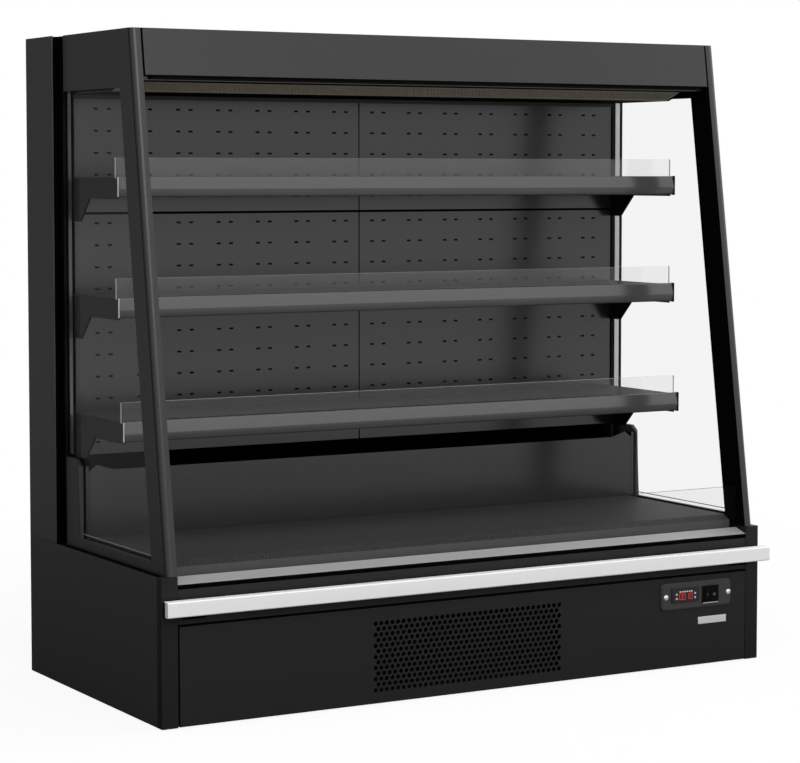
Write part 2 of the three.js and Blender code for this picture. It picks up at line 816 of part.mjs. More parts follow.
// Underside of the canopy, folded from sheet, with the long opening of the air outlet.
function addCanopyLiner() {
	const t = linerSheet;
	const rear = panelFront - fitGap;
	const top = cabinetHeight - roofSheet - fitGap;
	const outline = [
		[rear, linerLow],
		[outletRear, linerLow],
		[outletFront, linerHigh],
		[linerFront, linerHigh],
		[linerFront, top],
		[linerFront + linerTopFold, top],
		[linerFront + linerTopFold, top - t],
		[linerFront + t, top - t],
		[linerFront + t, linerHigh + t],
		[outletFront + t / 2, linerHigh + t],
		[outletRear + t / 2, linerLow + t],
		[rear, linerLow + t],
	];
	const opening = box(
		[-outletHalfLength, outletFront - fitGap, linerLow - over],
		[outletHalfLength, outletRear + fitGap, linerHigh + t + over],
	);
	const notches = sides.map(({ sign }) => {
		const [low, high] = spanX(sign, insideX, linerHalf + over);
		return box([low, linerFront - over, linerLow - over], [high, notchRear, cabinetHeight]);
	});
	const folded = alongX(outline, -linerHalf, linerHalf);
	add('canopy_liner', cut(folded, [opening, ...notches]), finishes.innerCoat);
}

// Tilted honeycomb that straightens the air curtain.
function addHoneycomb() {
	const half = outletHalfLength - fitGap;
	const slab = alongX([
		[outletRear, linerLow + honeycombLift],
		[outletFront, linerHigh + honeycombLift],
		[outletFront, linerHigh + honeycombThickness],
		[outletRear, linerLow + honeycombThickness],
	], -half, half);
	const pitch = (2 * half - honeycombWeb) / honeycombCells;
	const cells = [];
	for (let cell = 0; cell < honeycombCells; cell += 1) {
		const x = -half + honeycombWeb + cell * pitch;
		cells.push(box(
			[x, outletFront + honeycombWeb, linerLow - over],
			[x + pitch - honeycombWeb, outletRear - honeycombWeb, linerHigh + honeycombThickness + over],
		));
	}
	add('air_honeycomb', cut(slab, cells), finishes.honeycombGrey);
}

// Lamp profile behind the lower edge of the header.
function addLamp() {
	const rear = linerFront - fitGap;
	const low = linerHigh + lampGap;
	add('canopy_lamp', box(
		[-lampHalf, rear - lampDepth, low],
		[lampHalf, rear, low + lampHeight],
	), finishes.lampWhite);
}

// ---------------------------------------------------------------- shelves

// Shelf tray folded from sheet, open underneath, with a step along the front for the riser.
function addTray(number, front, top) {
	const half = panelHalfWidth;
	const low = top - trayHeight;
	const start = front + priceRailDepth + fitGap;
	const rear = panelFront - fitGap;
	const stepRear = front + riserSetback + riserThickness + fitGap;
	const stepTop = top - riserRebate;
	const tray = cut(box([-half, start, low], [half, rear, top]), [
		box([-half - over, start - over, stepTop], [half + over, stepRear, top + over]),
		box([-half + sheet, start + sheet, low - over], [half - sheet, rear - sheet, stepTop - sheet]),
		box([-half + sheet, stepRear + sheet, low - over], [half - sheet, rear - sheet, top - sheet]),
	]);
	add(`shelf_tray_${number}`, tray, finishes.innerCoat);
}

// Curved price rail clipped to the front of the tray.
function addPriceRail(number, front, railTop) {
	const bottom = railTop - priceRailHeight;
	const back = front + priceRailDepth;
	const crease = bottom + priceRailCrease;
	const outline = new THREE.Shape();
	outline.moveTo(back, bottom);
	outline.lineTo(back, railTop);
	outline.lineTo(back - priceRailLip, railTop);
	outline.quadraticCurveTo(front, railTop - 4, front, crease);
	outline.quadraticCurveTo(front + 1.5, bottom + 5, back - priceRailLip, bottom);
	outline.closePath();
	add(`price_rail_${number}`, alongX(outline, -priceRailHalf, priceRailHalf), finishes.railGrey);
}

// Clear riser standing in the tray's front step, behind the price rail.
function addShelfRiser(number, front, railTop) {
	const low = railTop - trayDrop - riserRebate + fitGap;
	const start = front + riserSetback;
	const pane = box(
		[-riserHalf, start, low],
		[riserHalf, start + riserThickness, railTop + riserHeight],
	);
	add(`shelf_riser_${number}`, pane, finishes.clearPane);
}

// Shelf bracket between the tray and the pane, hooked to the cheek of the rear body.
function addBracket(number, side, front, railTop) {
	const bottom = railTop - priceRailHeight;
	const start = front + priceRailDepth + trayClearance;
	const top = railTop - trayDrop - fitGap - trayClearance;
	const rear = bracketRear;
	const step = front + bracketStepSetback;
	const outline = [
		[start, bottom - bracketArmDrop],
		[start, top],
		[rear, top],
		[rear, bottom - bracketDeepDrop],
		[step + bracketStepRun, bottom - bracketDeepDrop],
		[step, bottom - bracketArmDrop],
	];
	const near = panelHalfWidth + fitGap;
	const [low, high] = spanX(side.sign, near, near + bracketThickness);
	add(`shelf_bracket_${number}_${side.name}`, alongX(outline, low, high), finishes.mattBlack);
}

// ---------------------------------------------------------------- controls

const roundedRect = (x, z, width, height, radius) => {
	const left = x - width / 2;
	const right = x + width / 2;
	const low = z - height / 2;
	const high = z + height / 2;
	const shape = new THREE.Shape();
	shape.moveTo(left + radius, low);
	shape.lineTo(right - radius, low);
	shape.quadraticCurveTo(right, low, right, low + radius);
	shape.lineTo(right, high - radius);
	shape.quadraticCurveTo(right, high, right - radius, high);
	shape.lineTo(left + radius, high);
	shape.quadraticCurveTo(left, high, left, high - radius);
	shape.lineTo(left, low + radius);
	shape.quadraticCurveTo(left, low, left + radius, low);
	return shape;
};

// Control plate with a stepped edge and cut-outs for the controller and the switch.
function addControlPlate() {
	const layer = (inset, front, rear) => alongY(roundedRect(
		plateCentreX,
		plateCentreZ,
		plateWidth - 2 * inset,
		plateHeight - 2 * inset,
		plateRadius - inset,
	), front, rear);
	const plate = join([
		layer(0, plateFront + plateStep, -fitGap),
		layer(plateChamfer, plateFront, -fitGap - over),
	]);
	const windowFor = (x, z, width, height) => box(
		[x - width / 2 - cutoutClearance, plateFront - over, z - height / 2 - cutoutClearance],
		[x + width / 2 + cutoutClearance, over, z + height / 2 + cutoutClearance],
	);
	add('control_plate', cut(plate, [
		windowFor(controllerX, controllerZ, controllerBodyWidth, controllerBodyHeight),
		windowFor(switchX, switchZ, switchBodyWidth, switchBodyHeight),
	]), finishes.controlGrey);
}

const keyPlaces = [
	{ name: 'upper_left', x: -keyOffsetX, z: keyOffsetZ },
	{ name: 'lower_left', x: -keyOffsetX, z: -keyOffsetZ },
	{ name: 'upper_right', x: keyOffsetX, z: keyOffsetZ },
	{ name: 'lower_right', x: keyOffsetX, z: -keyOffsetZ },
];

// Temperature controller: facia, body behind the plate and a well for each key.
function addController() {
	const front = trimY - controllerFacia;
	const body = join([
		box(
			[controllerX - controllerWidth / 2, front, controllerZ - controllerHeight / 2],
			[controllerX + controllerWidth / 2, trimY, controllerZ + controllerHeight / 2],
		),
		box(
			[controllerX - controllerBodyWidth / 2, trimY - over, controllerZ - controllerBodyHeight / 2],
			[controllerX + controllerBodyWidth / 2, controllerBodyDepth, controllerZ + controllerBodyHeight / 2],
		),
	]);
	const wells = keyPlaces.map(({ x, z }) => drum(
		keyRadius + keyWellClearance,
		controllerX + x,
		controllerZ - keyDrop + z,
		front - over,
		front + keyWellDepth,
		12,
	));
	add('temperature_controller', cut(body, wells), finishes.glossBlack);
	for (const { name, x, z } of keyPlaces) {
		const start = front - keyProud;
		const key = drum(keyRadius, 0, 0, 0, keyLength, 12);
		add(`controller_key_${name}`, key, finishes.keyWhite)
			.position.set(controllerX + x, start, controllerZ - keyDrop + z);
	}
}

// Power switch: bezel with a deep well, and the rocker that turns in it about a vertical axis.
function addSwitch() {
	const front = trimY - switchFlange;
	const wellHalf = switchBodyWidth / 2 - switchWall;
	const wellHeight = switchBodyHeight / 2 - switchWall;
	const bezel = cut(join([
		box(
			[switchX - switchWidth / 2, front, switchZ - switchHeight / 2],
			[switchX + switchWidth / 2, trimY, switchZ + switchHeight / 2],
		),
		box(
			[switchX - switchBodyWidth / 2, trimY - over, switchZ - switchBodyHeight / 2],
			[switchX + switchBodyWidth / 2, switchBodyDepth, switchZ + switchBodyHeight / 2],
		),
	]), [
		box(
			[switchX - wellHalf, front - over, switchZ - wellHeight],
			[switchX + wellHalf, switchBodyDepth - switchBack, switchZ + wellHeight],
		),
	]);
	add('switch_bezel', bezel, finishes.mattBlack);

	const rise = rockerHalfWidth * Math.tan(rockerTravel / 2 * degrees);
	const outline = [
		[-rockerHalfWidth, -rockerCrest - rise],
		[0, -rockerCrest],
		[rockerHalfWidth, -rockerCrest - rise],
		[rockerHalfWidth, 1],
		[rockerHalfWidth - rockerTaper, rockerBack],
		[rockerTaper - rockerHalfWidth, rockerBack],
		[-rockerHalfWidth, 1],
	];
	const half = wellHeight - fitGap;
	const rocker = add('switch_rocker', alongZ(outline, -half, half), finishes.mattBlack);
	rocker.position.set(switchX, rockerPivotY, switchZ);
	rocker.rotation.z = -rockerTravel / 2 * degrees;
}

// ---------------------------------------------------------------- fans and machinery

// Fan rotor on the Y axis through the origin; its shaft points to +Y.
function fanRotor(radius, hubRadius) {
	const pieces = [
		drum(hubRadius, 0, 0, 0, fanHubLength, 16),
		drum(fanShaftRadius, 0, 0, fanHubLength - over, fanHubLength + fanShaftLength, 10),
	];
	const root = hubRadius - 3;
	const scale = radius / fanRadius;
	for (let blade = 0; blade < fanBlades; blade += 1) {
		const vane = new THREE.BoxGeometry(fanBladeChord * scale, fanBladeThickness, radius - root);
		vane.translate(0, 0, (radius + root) / 2);
		vane.rotateZ(fanBladePitch * degrees);
		vane.rotateY(blade * 2 * Math.PI / fanBlades);
		vane.translate(0, fanHubLength / 2, 0);
		pieces.push(vane);
	}
	return join(pieces);
}

// Ring, spokes and motor that carry a rotor; the rotor's hub starts at y = 0.
function fanCarrier(radius, motorRadius) {
	const ringStart = -fanRingLead - over;
	const bore = radius + fanTipClearance;
	const outer = bore + fanRingWall;
	const motorFront = fanHubLength + fitGap;
	const ringEnd = ringStart + fanRingDepth;
	const ring = cut(drum(outer, 0, 0, ringStart, ringEnd, 32), [
		drum(bore, 0, 0, ringStart - over, ringEnd + over, 32),
	]);
	const spokes = [0, 1, 2, 3].map((index) => {
		const reach = bore + fanRingWall / 2;
		const spoke = box(
			[-fanSpokeWidth / 2, motorFront + over, 0],
			[fanSpokeWidth / 2, motorFront + over + fanSpokeDepth, reach],
		);
		return spoke.rotateY((index + 0.5) * Math.PI / 2);
	});
	const motor = drum(motorRadius, 0, 0, motorFront, motorFront + fanMotorLength, 16);
	const shaftEnd = fanHubLength + fanShaftLength + over;
	const shaftHole = drum(fanShaftRadius + fitGap, 0, 0, motorFront - over, shaftEnd, 10);
	return { body: cut(join([ring, motor, ...spokes]), [shaftHole]), bore, outer };
}

// Finned coil with return bends on its right-hand end.
function finnedCoil(width, depth, height) {
	const half = width / 2;
	const core = box([-half, 0, 0], [half, depth, height]);
	const gaps = [];
	const count = Math.floor((width - finPitch) / finPitch);
	for (let fin = 0; fin < count; fin += 1) {
		const x = (fin - (count - 1) / 2) * finPitch;
		gaps.push(box([x - finGap / 2, -over, finFrame], [x + finGap / 2, finGapDepth, height - finFrame]));
	}
	const pieces = [cut(core, gaps)];
	const rise = height / bendCount;
	const bendRadius = rise * bendRatio;
	for (let bend = 0; bend < bendCount; bend += 1) {
		const z = rise * (bend + 0.5);
		const arc = new THREE.CatmullRomCurve3([-90, -45, 0, 45, 90].map((angle) => new THREE.Vector3(
			half - over + Math.cos(angle * degrees) * bendRadius,
			depth / 2,
			z + Math.sin(angle * degrees) * bendRadius,
		)));
		const section = new THREE.Shape();
		section.absarc(0, 0, tubeRadius, 0, 2 * Math.PI);
		pieces.push(new THREE.ExtrudeGeometry(section, { extrudePath: arc, steps: 8, curveSegments: 4 }));
	}
	return join(pieces);
}

// Condenser coil and its fan with shroud, behind the intake grille.
function addCondenser() {
	const coil = add('condenser_coil', finnedCoil(coilWidth, coilDepth, coilHeight), finishes.coilAluminium);
	coil.position.set(grilleCentreX, coilFront, seatZ);
	const shroudY = coilFront + coilDepth + fitGap;
	const hubY = shroudY + shroudSheet + fanRingLead;
	const fanZ = seatZ + coilHeight / 2;
	const { body, bore, outer } = fanCarrier(fanRadius, fanMotorRadius);
	const plate = cut(box(
		[-coilWidth / 2, -fanRingLead - shroudSheet, -coilHeight / 2],
		[coilWidth / 2, -fanRingLead, coilHeight / 2],
	), [drum((bore + outer) / 2, 0, 0, -fanRingLead - shroudSheet - over, over - fanRingLead, 32)]);
	const shroud = add('fan_shroud', join([plate, body]), finishes.zincSteel);
	shroud.position.set(grilleCentreX, hubY, fanZ);
	const rotor = add('condenser_fan', fanRotor(fanRadius, fanHubRadius), finishes.mattBlack);
	rotor.position.set(grilleCentreX, hubY, fanZ);
}

// Hermetic compressor on its mounting plate.
function addCompressor() {
	const r = compressorRadius;
	const h = compressorHeight;
	const profile = [
		[0, 0],
		[r * 0.8, 0],
		[r * 0.95, h * 0.1],
		[r * 0.97, h * 0.4],
		[r, h * 0.42],
		[r, h * 0.5],
		[r * 0.96, h * 0.52],
		[r * 0.93, h * 0.8],
		[r * 0.7, h * 0.95],
		[0, h],
	].map(([radius, z]) => new THREE.Vector2(radius, z));
	const shell = new THREE.LatheGeometry(profile, 24);
	shell.rotateX(Math.PI / 2).translate(0, 0, compressorPlate - over);
	const plate = box(
		[-compressorPlateLength / 2, -compressorPlateWidth / 2, 0],
		[compressorPlateLength / 2, compressorPlateWidth / 2, compressorPlate],
	);
	add('compressor', join([shell, plate]), finishes.mattBlack)
		.position.set(compressorX, compressorY, seatZ);
}

// Closed box for the wiring, behind the controls.
function addControlBox() {
	add('control_box', box(
		[controlBoxLeft, controlBoxFront, seatZ],
		[controlBoxRight, controlBoxRear, seatZ + controlBoxHeight],
	), finishes.zincSteel);
}

// Evaporator coil and its fan plate, in the tub under the deck.
function addEvaporator() {
	const floor = tubBottom + tubFloor + fitGap;
	const coil = finnedCoil(evaporatorWidth, evaporatorDepth, evaporatorHeight);
	add('evaporator_coil', coil, finishes.coilAluminium)
		.position.set(0, evaporatorRear - evaporatorDepth, floor);
	const plateTop = deckTop - deckSheet - fitGap;
	const tools = [];
	const pieces = [];
	const hubY = fanPlateY + fanRingLead;
	for (const { name, sign } of sides) {
		const x = sign * evaporatorFanOffset;
		const { body, bore, outer } = fanCarrier(evaporatorFanRadius, evaporatorFanHub);
		pieces.push(body.translate(x, hubY, evaporatorFanZ));
		const start = fanPlateY - shroudSheet - over;
		tools.push(drum((bore + outer) / 2, x, evaporatorFanZ, start, fanPlateY + over, 32));
		const rotor = fanRotor(evaporatorFanRadius, evaporatorFanHub);
		add(`evaporator_fan_${name}`, rotor, finishes.mattBlack).position.set(x, hubY, evaporatorFanZ);
	}
	const plate = cut(box(
		[-fanPlateHalfWidth, fanPlateY - shroudSheet, floor],
		[fanPlateHalfWidth, fanPlateY, plateTop],
	), tools);
	add('evaporator_fan_plate', join([plate, ...pieces]), finishes.coilAluminium);
}

// ---------------------------------------------------------------- build

addChassis();
addBaseBack();
addFrontPanel();
addFascia();
addBumper();
addSill();
addTub();
addRearBody();
addDuctCover();
addDeck();
addDeckRiser();
addHeader();
addRoof();
addCanopyLiner();
addHoneycomb();
addLamp();
for (const side of sides) {
	addBaseSide(side);
	addCornerPost(side);
	addEndFrame(side);
	addEndGlass(side);
	addBackPanel('upper', side, panelSeam + panelSeamGap / 2, panelTop);
	addBackPanel('lower', side, panelBottom, panelSeam - panelSeamGap / 2);
}
shelfTops.forEach((railTop, index) => {
	const number = index + 1;
	const front = shelfFronts[index];
	addTray(number, front, railTop - trayDrop);
	addPriceRail(number, front, railTop);
	addShelfRiser(number, front, railTop);
	for (const side of sides) {
		addBracket(number, side, front, railTop);
	}
});
addControlPlate();
addController();
addSwitch();
addCondenser();
addCompressor();
addControlBox();
addEvaporator();

const fridge = new THREE.Group();
fridge.add(cabinet);

export default fridge;
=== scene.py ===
"""Looks of an open multideck display fridge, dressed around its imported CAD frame.

The frame's nodes carry the construction. Here each piece that shows gets folded or rounded edges and a finish,
the perforated sheets get their real holes, and the small trim is added. Everything is in metres in the frame's
own axes: +X to the right, +Y to the back, +Z up, with the origin on the floor under the middle of the cabinet.
"""

from __future__ import annotations

import json
import logging
import math
from contextlib import contextmanager
from dataclasses import dataclass
from enum import Enum
from typing import Any, Callable, Iterator, Sequence

import bmesh
import bpy
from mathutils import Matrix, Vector

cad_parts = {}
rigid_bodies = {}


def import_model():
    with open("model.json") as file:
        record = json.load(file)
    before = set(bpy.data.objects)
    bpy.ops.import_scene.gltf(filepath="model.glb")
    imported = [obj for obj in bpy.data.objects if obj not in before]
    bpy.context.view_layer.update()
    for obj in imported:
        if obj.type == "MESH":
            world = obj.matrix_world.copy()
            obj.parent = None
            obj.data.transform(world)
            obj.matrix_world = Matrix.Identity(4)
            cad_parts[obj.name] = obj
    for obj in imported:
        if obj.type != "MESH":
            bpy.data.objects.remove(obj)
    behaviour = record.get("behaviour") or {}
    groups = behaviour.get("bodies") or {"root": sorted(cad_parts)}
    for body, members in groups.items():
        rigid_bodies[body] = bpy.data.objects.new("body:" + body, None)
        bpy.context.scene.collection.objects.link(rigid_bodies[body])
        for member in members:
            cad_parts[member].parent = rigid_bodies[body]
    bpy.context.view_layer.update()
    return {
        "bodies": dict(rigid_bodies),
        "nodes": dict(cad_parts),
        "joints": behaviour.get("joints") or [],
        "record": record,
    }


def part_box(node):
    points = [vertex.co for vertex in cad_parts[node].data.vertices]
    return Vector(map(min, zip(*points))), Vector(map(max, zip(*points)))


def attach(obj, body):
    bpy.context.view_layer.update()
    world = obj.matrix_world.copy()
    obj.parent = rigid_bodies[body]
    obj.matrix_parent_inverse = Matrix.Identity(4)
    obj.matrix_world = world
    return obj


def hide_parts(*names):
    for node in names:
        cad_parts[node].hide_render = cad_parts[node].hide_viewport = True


LOG = logging.getLogger("fridge")
MM = 0.001
NEAR = 1e-5  # metres within which two places are the same
MERGE = 2e-5  # metres within which the corners of neighbouring holes are merged
SQUARE = 0.9  # a face looks along an axis when its normal's share along it is more than this
LEANING = 0.5  # a face leans towards an axis when that share is more than this
WELD = 1e-6  # metres within which the corners of a CAD node's loose triangles are merged
FLAT = math.radians(0.5)  # faces that turn by less than this are one
SHARP = math.radians(28)  # edges that turn by more than this are rounded
CREASE = math.radians(40)  # edges that turn by more than this stay creased in the shading

Triple = tuple[float, float, float]
Pair = tuple[float, float]
Element = Any  # a bmesh vertex, edge or face
Shader = Callable[[bpy.types.NodeTree], bpy.types.NodeSocket]


class Side(Enum):
    """An end of the cabinet, as the sign of its X."""

    LEFT = -1
    RIGHT = 1

    @property
    def label(self) -> str:
        """Returns the side's word in the names of nodes and pieces."""
        return self.name.lower()


# ---------------------------------------------------------------- finishes


def linear(hex_colour: str) -> tuple[float, float, float, float]:
    """Turns an sRGB hex colour into linear RGBA.

    Args:
        hex_colour: Six hex digits after a hash.

    Returns:
        The linear red, green and blue, with an alpha of 1.
    """
    channels = [int(hex_colour[i : i + 2], 16) / 255 for i in (1, 3, 5)]
    red, green, blue = (c / 12.92 if c <= 0.04045 else ((c + 0.055) / 1.055) ** 2.4 for c in channels)
    return red, green, blue, 1.0


def add_node(tree: bpy.types.NodeTree, kind: str, inputs: dict[str | int, Any], **settings: Any) -> bpy.types.Node:
    """Adds a shader node with its settings and its links or constants.

    Args:
        tree: The node tree that gets the node.
        kind: The node's type name.
        inputs: A value or an output socket for each input, by name or index.
        settings: The node's own properties.

    Returns:
        The new node.
    """
    node = tree.nodes.new(kind)
    for name, value in settings.items():
        setattr(node, name, value)
    for key, value in inputs.items():
        if isinstance(value, bpy.types.NodeSocket):
            tree.links.new(value, node.inputs[key])
        else:
            node.inputs[key].default_value = value
    return node


def node_material(name: str, shader: Shader) -> bpy.types.Material:
    """Makes a material from its nodes.

    Args:
        name: The material's name.
        shader: Builds the nodes in the tree that it is given, and returns the output that shows.

    Returns:
        The material.
    """
    material = bpy.data.materials.new(name)
    material.use_nodes = True
    tree = material.node_tree
    tree.nodes.clear()
    add_node(tree, "ShaderNodeOutputMaterial", {"Surface": shader(tree)})
    return material


class Grain(Enum):
    """How far a pattern is stretched along X, Y and Z by the way the surface was made."""

    EVEN = (1.0, 1.0, 1.0)  # sprayed coats and spark-eroded moulds: alike in all directions
    DRAWN = (0.012, 1.0, 1.0)  # brushed or drawn along X: long fine lines


DRIFT = 0.03  # a finish's shade drifts over some thirty of its grains
WIPE_MM = 1000 / 6  # a cleaning cloth's drifts are a hand wide
WIPE_SHARE = 0.3  # how far a film's share drifts either way
DIFFUSER_MM = 1000 / 900  # grain of a display's diffuser
DIFFUSER_SHARE = 0.15  # how far its light drifts either way


class Surface:
    """What a surface is made of, as one node material."""

    name: str

    def shader(self, tree: bpy.types.NodeTree) -> bpy.types.NodeSocket:
        """Builds the surface's nodes and returns the output that shows."""
        raise NotImplementedError

    def material(self) -> bpy.types.Material:
        """Returns the surface's material, made once."""
        return bpy.data.materials.get(self.name) or node_material(self.name, self.shader)


@dataclass(frozen=True)
class Finish(Surface):
    """An opaque finish with a fine relief and small changes of shade and gloss.

    Attributes:
        name: What the surface is and how it was made.
        colour: Its main colour.
        shade: The colour that its pattern drifts to.
        roughness: Its roughness in the middle of its range.
        grain_mm: Size of its pattern.
        relief_mm: Depth of its pattern.
        grain: How its pattern was made.
        metallic: 1 for bare metal.
        specular: Specular level, lower for a flatted coat.
        spread: How far the roughness drifts either way.
    """

    name: str
    colour: str
    shade: str
    roughness: float
    grain_mm: float
    relief_mm: float
    grain: Grain = Grain.EVEN
    metallic: float = 0.0
    specular: float = 0.5
    spread: float = 0.04

    def shader(self, tree: bpy.types.NodeTree) -> bpy.types.NodeSocket:
        """Builds the finish, whose grain gives its relief and gloss, and a broader drift its shade.

        Args:
            tree: The material's node tree.

        Returns:
            The output that shows.
        """
        place = add_node(tree, "ShaderNodeTexCoord", {})
        scale = [stretch / (self.grain_mm * MM) for stretch in self.grain.value]
        point = add_node(tree, "ShaderNodeMapping", {"Vector": place.outputs["Object"], "Scale": scale}).outputs[0]
        fine = add_node(tree, "ShaderNodeTexNoise", {"Vector": point, "Scale": 1.0, "Detail": 3.0}).outputs["Fac"]
        drift = add_node(tree, "ShaderNodeTexNoise", {"Vector": point, "Scale": DRIFT, "Detail": 2.0})
        shades = {0: drift.outputs["Fac"], 6: linear(self.colour), 7: linear(self.shade)}
        colour = add_node(tree, "ShaderNodeMix", shades, data_type="RGBA")
        limits = {"To Min": self.roughness - self.spread, "To Max": self.roughness + self.spread}
        gloss = add_node(tree, "ShaderNodeMapRange", {"Value": fine, **limits})
        relief = {"Height": fine, "Distance": self.relief_mm * MM, "Strength": 1.0}
        bump = add_node(tree, "ShaderNodeBump", relief)
        inputs = {
            "Base Color": colour.outputs[2],
            "Roughness": gloss.outputs[0],
            "Normal": bump.outputs[0],
            "Metallic": self.metallic,
            "Specular IOR Level": self.specular,
        }
        return add_node(tree, "ShaderNodeBsdfPrincipled", inputs).outputs[0]


@dataclass(frozen=True)
class ClearFinish(Surface):
    """A clear sheet that reflects at its faces and tints what is behind it.

    Attributes:
        name: What the sheet is.
        tint: Colour of what comes through.
        facing: Share that it reflects when seen straight on.
        grazing: Share that it reflects when seen from the side.
        haze: Share of a faint pale film on it.
        film: The film's colour.
        backlit: Whether the film shows the light that falls on its far side.
    """

    name: str
    tint: str
    facing: float
    grazing: float
    haze: float
    film: str = "#b8bcbc"
    backlit: bool = False

    def shader(self, tree: bpy.types.NodeTree) -> bpy.types.NodeSocket:
        """Builds the sheet: what comes through it, an uneven film on that, and a polish that grows at a slant.

        Args:
            tree: The material's node tree.

        Returns:
            The output that shows.
        """
        clear = add_node(tree, "ShaderNodeBsdfTransparent", {"Color": linear(self.tint)})
        mirror = {"Base Color": linear("#fafafa"), "Roughness": 0.05, "Metallic": 1.0}
        polish = add_node(tree, "ShaderNodeBsdfPrincipled", mirror)
        place = add_node(tree, "ShaderNodeTexCoord", {})
        wipes = {"Vector": place.outputs["Object"], "Scale": 1 / (WIPE_MM * MM), "Detail": 2.0}
        mist = add_node(tree, "ShaderNodeTexNoise", wipes)
        limits = {"To Min": self.haze * (1 - WIPE_SHARE), "To Max": self.haze * (1 + WIPE_SHARE)}
        film = add_node(tree, "ShaderNodeMapRange", {"Value": mist.outputs["Fac"], **limits})
        kind = "ShaderNodeBsdfTranslucent" if self.backlit else "ShaderNodeBsdfDiffuse"
        veil = add_node(tree, kind, {"Color": linear(self.film)})
        under = {0: film.outputs[0], 1: clear.outputs[0], 2: veil.outputs[0]}
        misted = add_node(tree, "ShaderNodeMixShader", under)
        angle = add_node(tree, "ShaderNodeLayerWeight", {"Blend": 0.5})
        steep = add_node(tree, "ShaderNodeMath", {0: angle.outputs["Facing"], 1: 5.0}, operation="POWER")
        limits = {"To Min": self.facing, "To Max": self.grazing}
        share = add_node(tree, "ShaderNodeMapRange", {"Value": steep.outputs[0], **limits})
        over = {0: share.outputs[0], 1: misted.outputs[0], 2: polish.outputs[0]}
        return add_node(tree, "ShaderNodeMixShader", over).outputs[0]


@dataclass(frozen=True)
class GlowFinish(Surface):
    """A lit mark, such as a display segment.

    Attributes:
        name: What glows.
        colour: Its colour.
        strength: Its strength, where 1 shows the colour as written.
    """

    name: str
    colour: str
    strength: float

    def shader(self, tree: bpy.types.NodeTree) -> bpy.types.NodeSocket:
        """Builds the mark, whose light is a little uneven from grain to grain of its diffuser.

        Args:
            tree: The material's node tree.

        Returns:
            The output that shows.
        """
        place = add_node(tree, "ShaderNodeTexCoord", {})
        grains = {"Vector": place.outputs["Object"], "Scale": 1 / (DIFFUSER_MM * MM)}
        uneven = add_node(tree, "ShaderNodeTexNoise", grains).outputs["Fac"]
        low, high = (self.strength * (1 + drift) for drift in (-DIFFUSER_SHARE, DIFFUSER_SHARE))
        level = add_node(tree, "ShaderNodeMapRange", {"Value": uneven, "To Min": low, "To Max": high})
        glow = {"Color": linear(self.colour), "Strength": level.outputs[0]}
        return add_node(tree, "ShaderNodeEmission", glow).outputs[0]


# Polyester powder coat, satin black: a shallow orange peel and a soft gloss that catches light along the folds.
# One coat in copies whose colour and gloss carry painted light and shade by place: the base's sides lightest, then
# the rear body, the ends, the upper front, the base, and the corner posts darkest.
HEADER_COAT = Finish("satin_black_powder_coat_upper", "#242424", "#262626", 0.34, 1.6, 0.003, specular=0.42)
END_COAT = Finish("satin_black_powder_coat_ends", "#2a2a2a", "#2c2c2c", 0.36, 1.6, 0.003)
BASE_COAT = Finish("satin_black_powder_coat_base", "#1f1f1f", "#212121", 0.42, 1.6, 0.003, specular=0.2)
POST_COAT = Finish("satin_black_powder_coat_corners", "#191919", "#1b1b1b", 0.42, 1.6, 0.003, specular=0.2)
SIDE_COAT = Finish("satin_black_powder_coat_base_sides", "#353535", "#373737", 0.42, 1.6, 0.003, specular=0.2)
BODY_COAT = Finish("satin_black_coated_sheet", "#2f2f2f", "#313131", 0.38, 1.8, 0.003)
# The same coat in a bend's own shade: a dark line where the post's rounding starts.
GROOVE_COAT = Finish("shaded_groove_coat", "#161616", "#181818", 0.6, 1.6, 0.002, specular=0.1)
# Matt black powder coat: brackets read as silhouettes. The outer side of an arm is painted a little lighter than
# its root: a painted reflection.
BRACKET_COAT = Finish("matt_black_powder_coat", "#0c0c0c", "#0f0f0f", 0.5, 1.2, 0.004, specular=0.1)
ARM_REFLECTION_COAT = Finish("matt_charcoal_powder_coat", "#303030", "#323232", 0.5, 1.2, 0.004, specular=0.1)
# A flat mid grey on the inner side of the end frames' rear feet, beside the panes: the end coat painted lighter
# where little light reaches, painted light.
FOOT_SIDE_LIGHT = Finish("grey_seal_lining", "#606060", "#5c5c5c", 0.6, 1.2, 0.002, specular=0.1)
# The inside is glossier, so its panels mirror the white studio and, as a dark band, a post's black inner side.
INNER_COAT = Finish(
    "semi_gloss_powder_coat_inside", "#212121", "#232323", 0.2, 2.4, 0.0004, specular=0.64, spread=0.01
)
# Trays and deck are flatter than the walls, and lighter: a copy of the inside's coat whose lightness is painted
# light. The deck's front fold is painted paler still, as painted light on its lit front.
DECK_COAT = Finish("satin_powder_coat_trays", "#383838", "#3a3a3a", 0.5, 2.4, 0.0004, specular=0.15)
FOLD_LIGHT_COAT = Finish("satin_powder_coat_deck_fold", "#4c4c4c", "#4e4e4e", 0.4, 2.4, 0.0004, specular=0.3)
# Coated steel strip: a thin warm dark line over the back panels.
STRIP_COAT = Finish("dark_bronze_edge_strip", "#1f1d1a", "#211f1c", 0.4, 2.4, 0.001, specular=0.25)
# Painted shade: a matt black with no gloss, put on faces in gaps, recesses, undersides and shadowed fronts, so
# that they read as plain black lines of shade.
SHADE_BLACK = Finish("matt_black_joint_foam", "#040404", "#060606", 0.9, 1.0, 0.004, specular=0.02)
